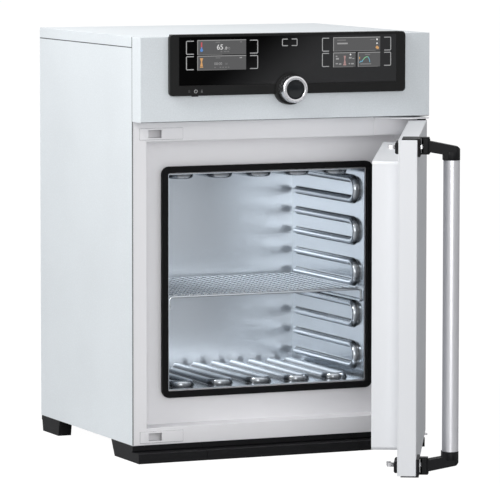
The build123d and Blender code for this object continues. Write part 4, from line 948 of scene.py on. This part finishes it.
FLOOR_GREY = (0.52, 0.52, 0.52, 1)
FLOOR_GLOW, FLOOR_GLOW_SHARE = 1.17, 0.85
SKY_COLOUR, SKY_STRENGTH = (0.95, 0.97, 1.0, 1), 0.42
WHITE = (1, 1, 1, 1)
FLOOR_CORNERS = [(-40, -40, 0), (40, -40, 0), (40, 60, 0), (-40, 60, 0)]
CAMERA_AT = (-3.08214, -6.87076, 1.08591)
CAMERA_AZIMUTH, CAMERA_FALL, CAMERA_ROLL = 0.4148, 0.0932, 0.0008
CAMERA_LENS, SENSOR_WIDTH = 292.3, 36.0


def pale_floor():
    """A grey floor that takes shadows and that the camera sees as white."""
    mesh = bpy.data.meshes.new("floor")
    mesh.from_pydata(FLOOR_CORNERS, [], [(0, 1, 2, 3)])
    floor = bpy.data.objects.new("floor", mesh)
    bpy.context.scene.collection.objects.link(floor)
    material, tree = blank_material("pale_floor")
    path = add(tree, "ShaderNodeLightPath")
    matte = add(tree, "ShaderNodeBsdfDiffuse", {"Color": FLOOR_GREY})
    glow = add(tree, "ShaderNodeEmission", {"Color": WHITE, "Strength": FLOOR_GLOW})
    share = math_node(tree, "MULTIPLY", path.outputs["Is Camera Ray"], FLOOR_GLOW_SHARE)
    both = add(tree, "ShaderNodeMixShader", {0: share, 1: matte.outputs[0], 2: glow.outputs[0]})
    add(tree, "ShaderNodeOutputMaterial", {"Surface": both.outputs[0]})
    mesh.materials.append(material)


def studio_world():
    """A soft sky that is plain white to the camera and in reflections."""
    world = bpy.data.worlds.new("studio")
    bpy.context.scene.world = world
    world.use_nodes = True
    tree = world.node_tree
    tree.nodes.clear()
    rays = add(tree, "ShaderNodeLightPath").outputs
    seen = math_node(tree, "MAXIMUM", rays["Is Camera Ray"], rays["Is Glossy Ray"])
    seen = math_node(tree, "MAXIMUM", seen, rays["Is Transmission Ray"])
    soft = add(tree, "ShaderNodeBackground", {"Color": SKY_COLOUR, "Strength": SKY_STRENGTH})
    white = add(tree, "ShaderNodeBackground", {"Color": WHITE, "Strength": 1.0})
    both = add(tree, "ShaderNodeMixShader", {0: seen, 1: soft.outputs[0], 2: white.outputs[0]})
    add(tree, "ShaderNodeOutputWorld", {"Surface": both.outputs[0]})


def lamp(name, place, target, size, watts):
    """A round soft lamp at a place, turned to a target."""
    data = bpy.data.lights.new(name, "AREA")
    data.shape = "DISK"
    data.size = size
    data.energy = watts
    obj = bpy.data.objects.new(name, data)
    obj.location = place
    obj.rotation_mode = "QUATERNION"
    obj.rotation_quaternion = (Vector(target) - Vector(place)).to_track_quat("-Z", "Y")
    bpy.context.scene.collection.objects.link(obj)


def photo_camera():
    """The camera that was fitted to the photograph."""
    level, sin_turn, cos_turn = math.cos(CAMERA_FALL), math.sin(CAMERA_AZIMUTH), math.cos(CAMERA_AZIMUTH)
    forward = Vector((sin_turn * level, cos_turn * level, -math.sin(CAMERA_FALL)))
    right = Vector((cos_turn, -sin_turn, 0))
    up = right.cross(forward)
    cos_roll, sin_roll = math.cos(CAMERA_ROLL), math.sin(CAMERA_ROLL)
    right, up = right * cos_roll + up * sin_roll, up * cos_roll - right * sin_roll
    data = bpy.data.cameras.new("camera")
    data.sensor_width = SENSOR_WIDTH
    data.lens = CAMERA_LENS
    data.clip_end = 200.0
    camera = bpy.data.objects.new("camera", data)
    bpy.context.scene.collection.objects.link(camera)
    turn = Matrix((right, up, -forward)).transposed().to_4x4()
    camera.matrix_world = Matrix.Translation(CAMERA_AT) @ turn
    bpy.context.scene.camera = camera


pale_floor()
studio_world()
lamp("key", place=(-1.9, -0.3, 2.2), target=(-0.15, 0.2, 0.5), size=1.2, watts=54.0)
lamp("fill", place=(-1.4, -4.4, 1.2), target=(0, 0.0, 0.35), size=2.4, watts=58.0)
photo_camera()
bpy.context.scene.view_settings.view_transform = "Standard"
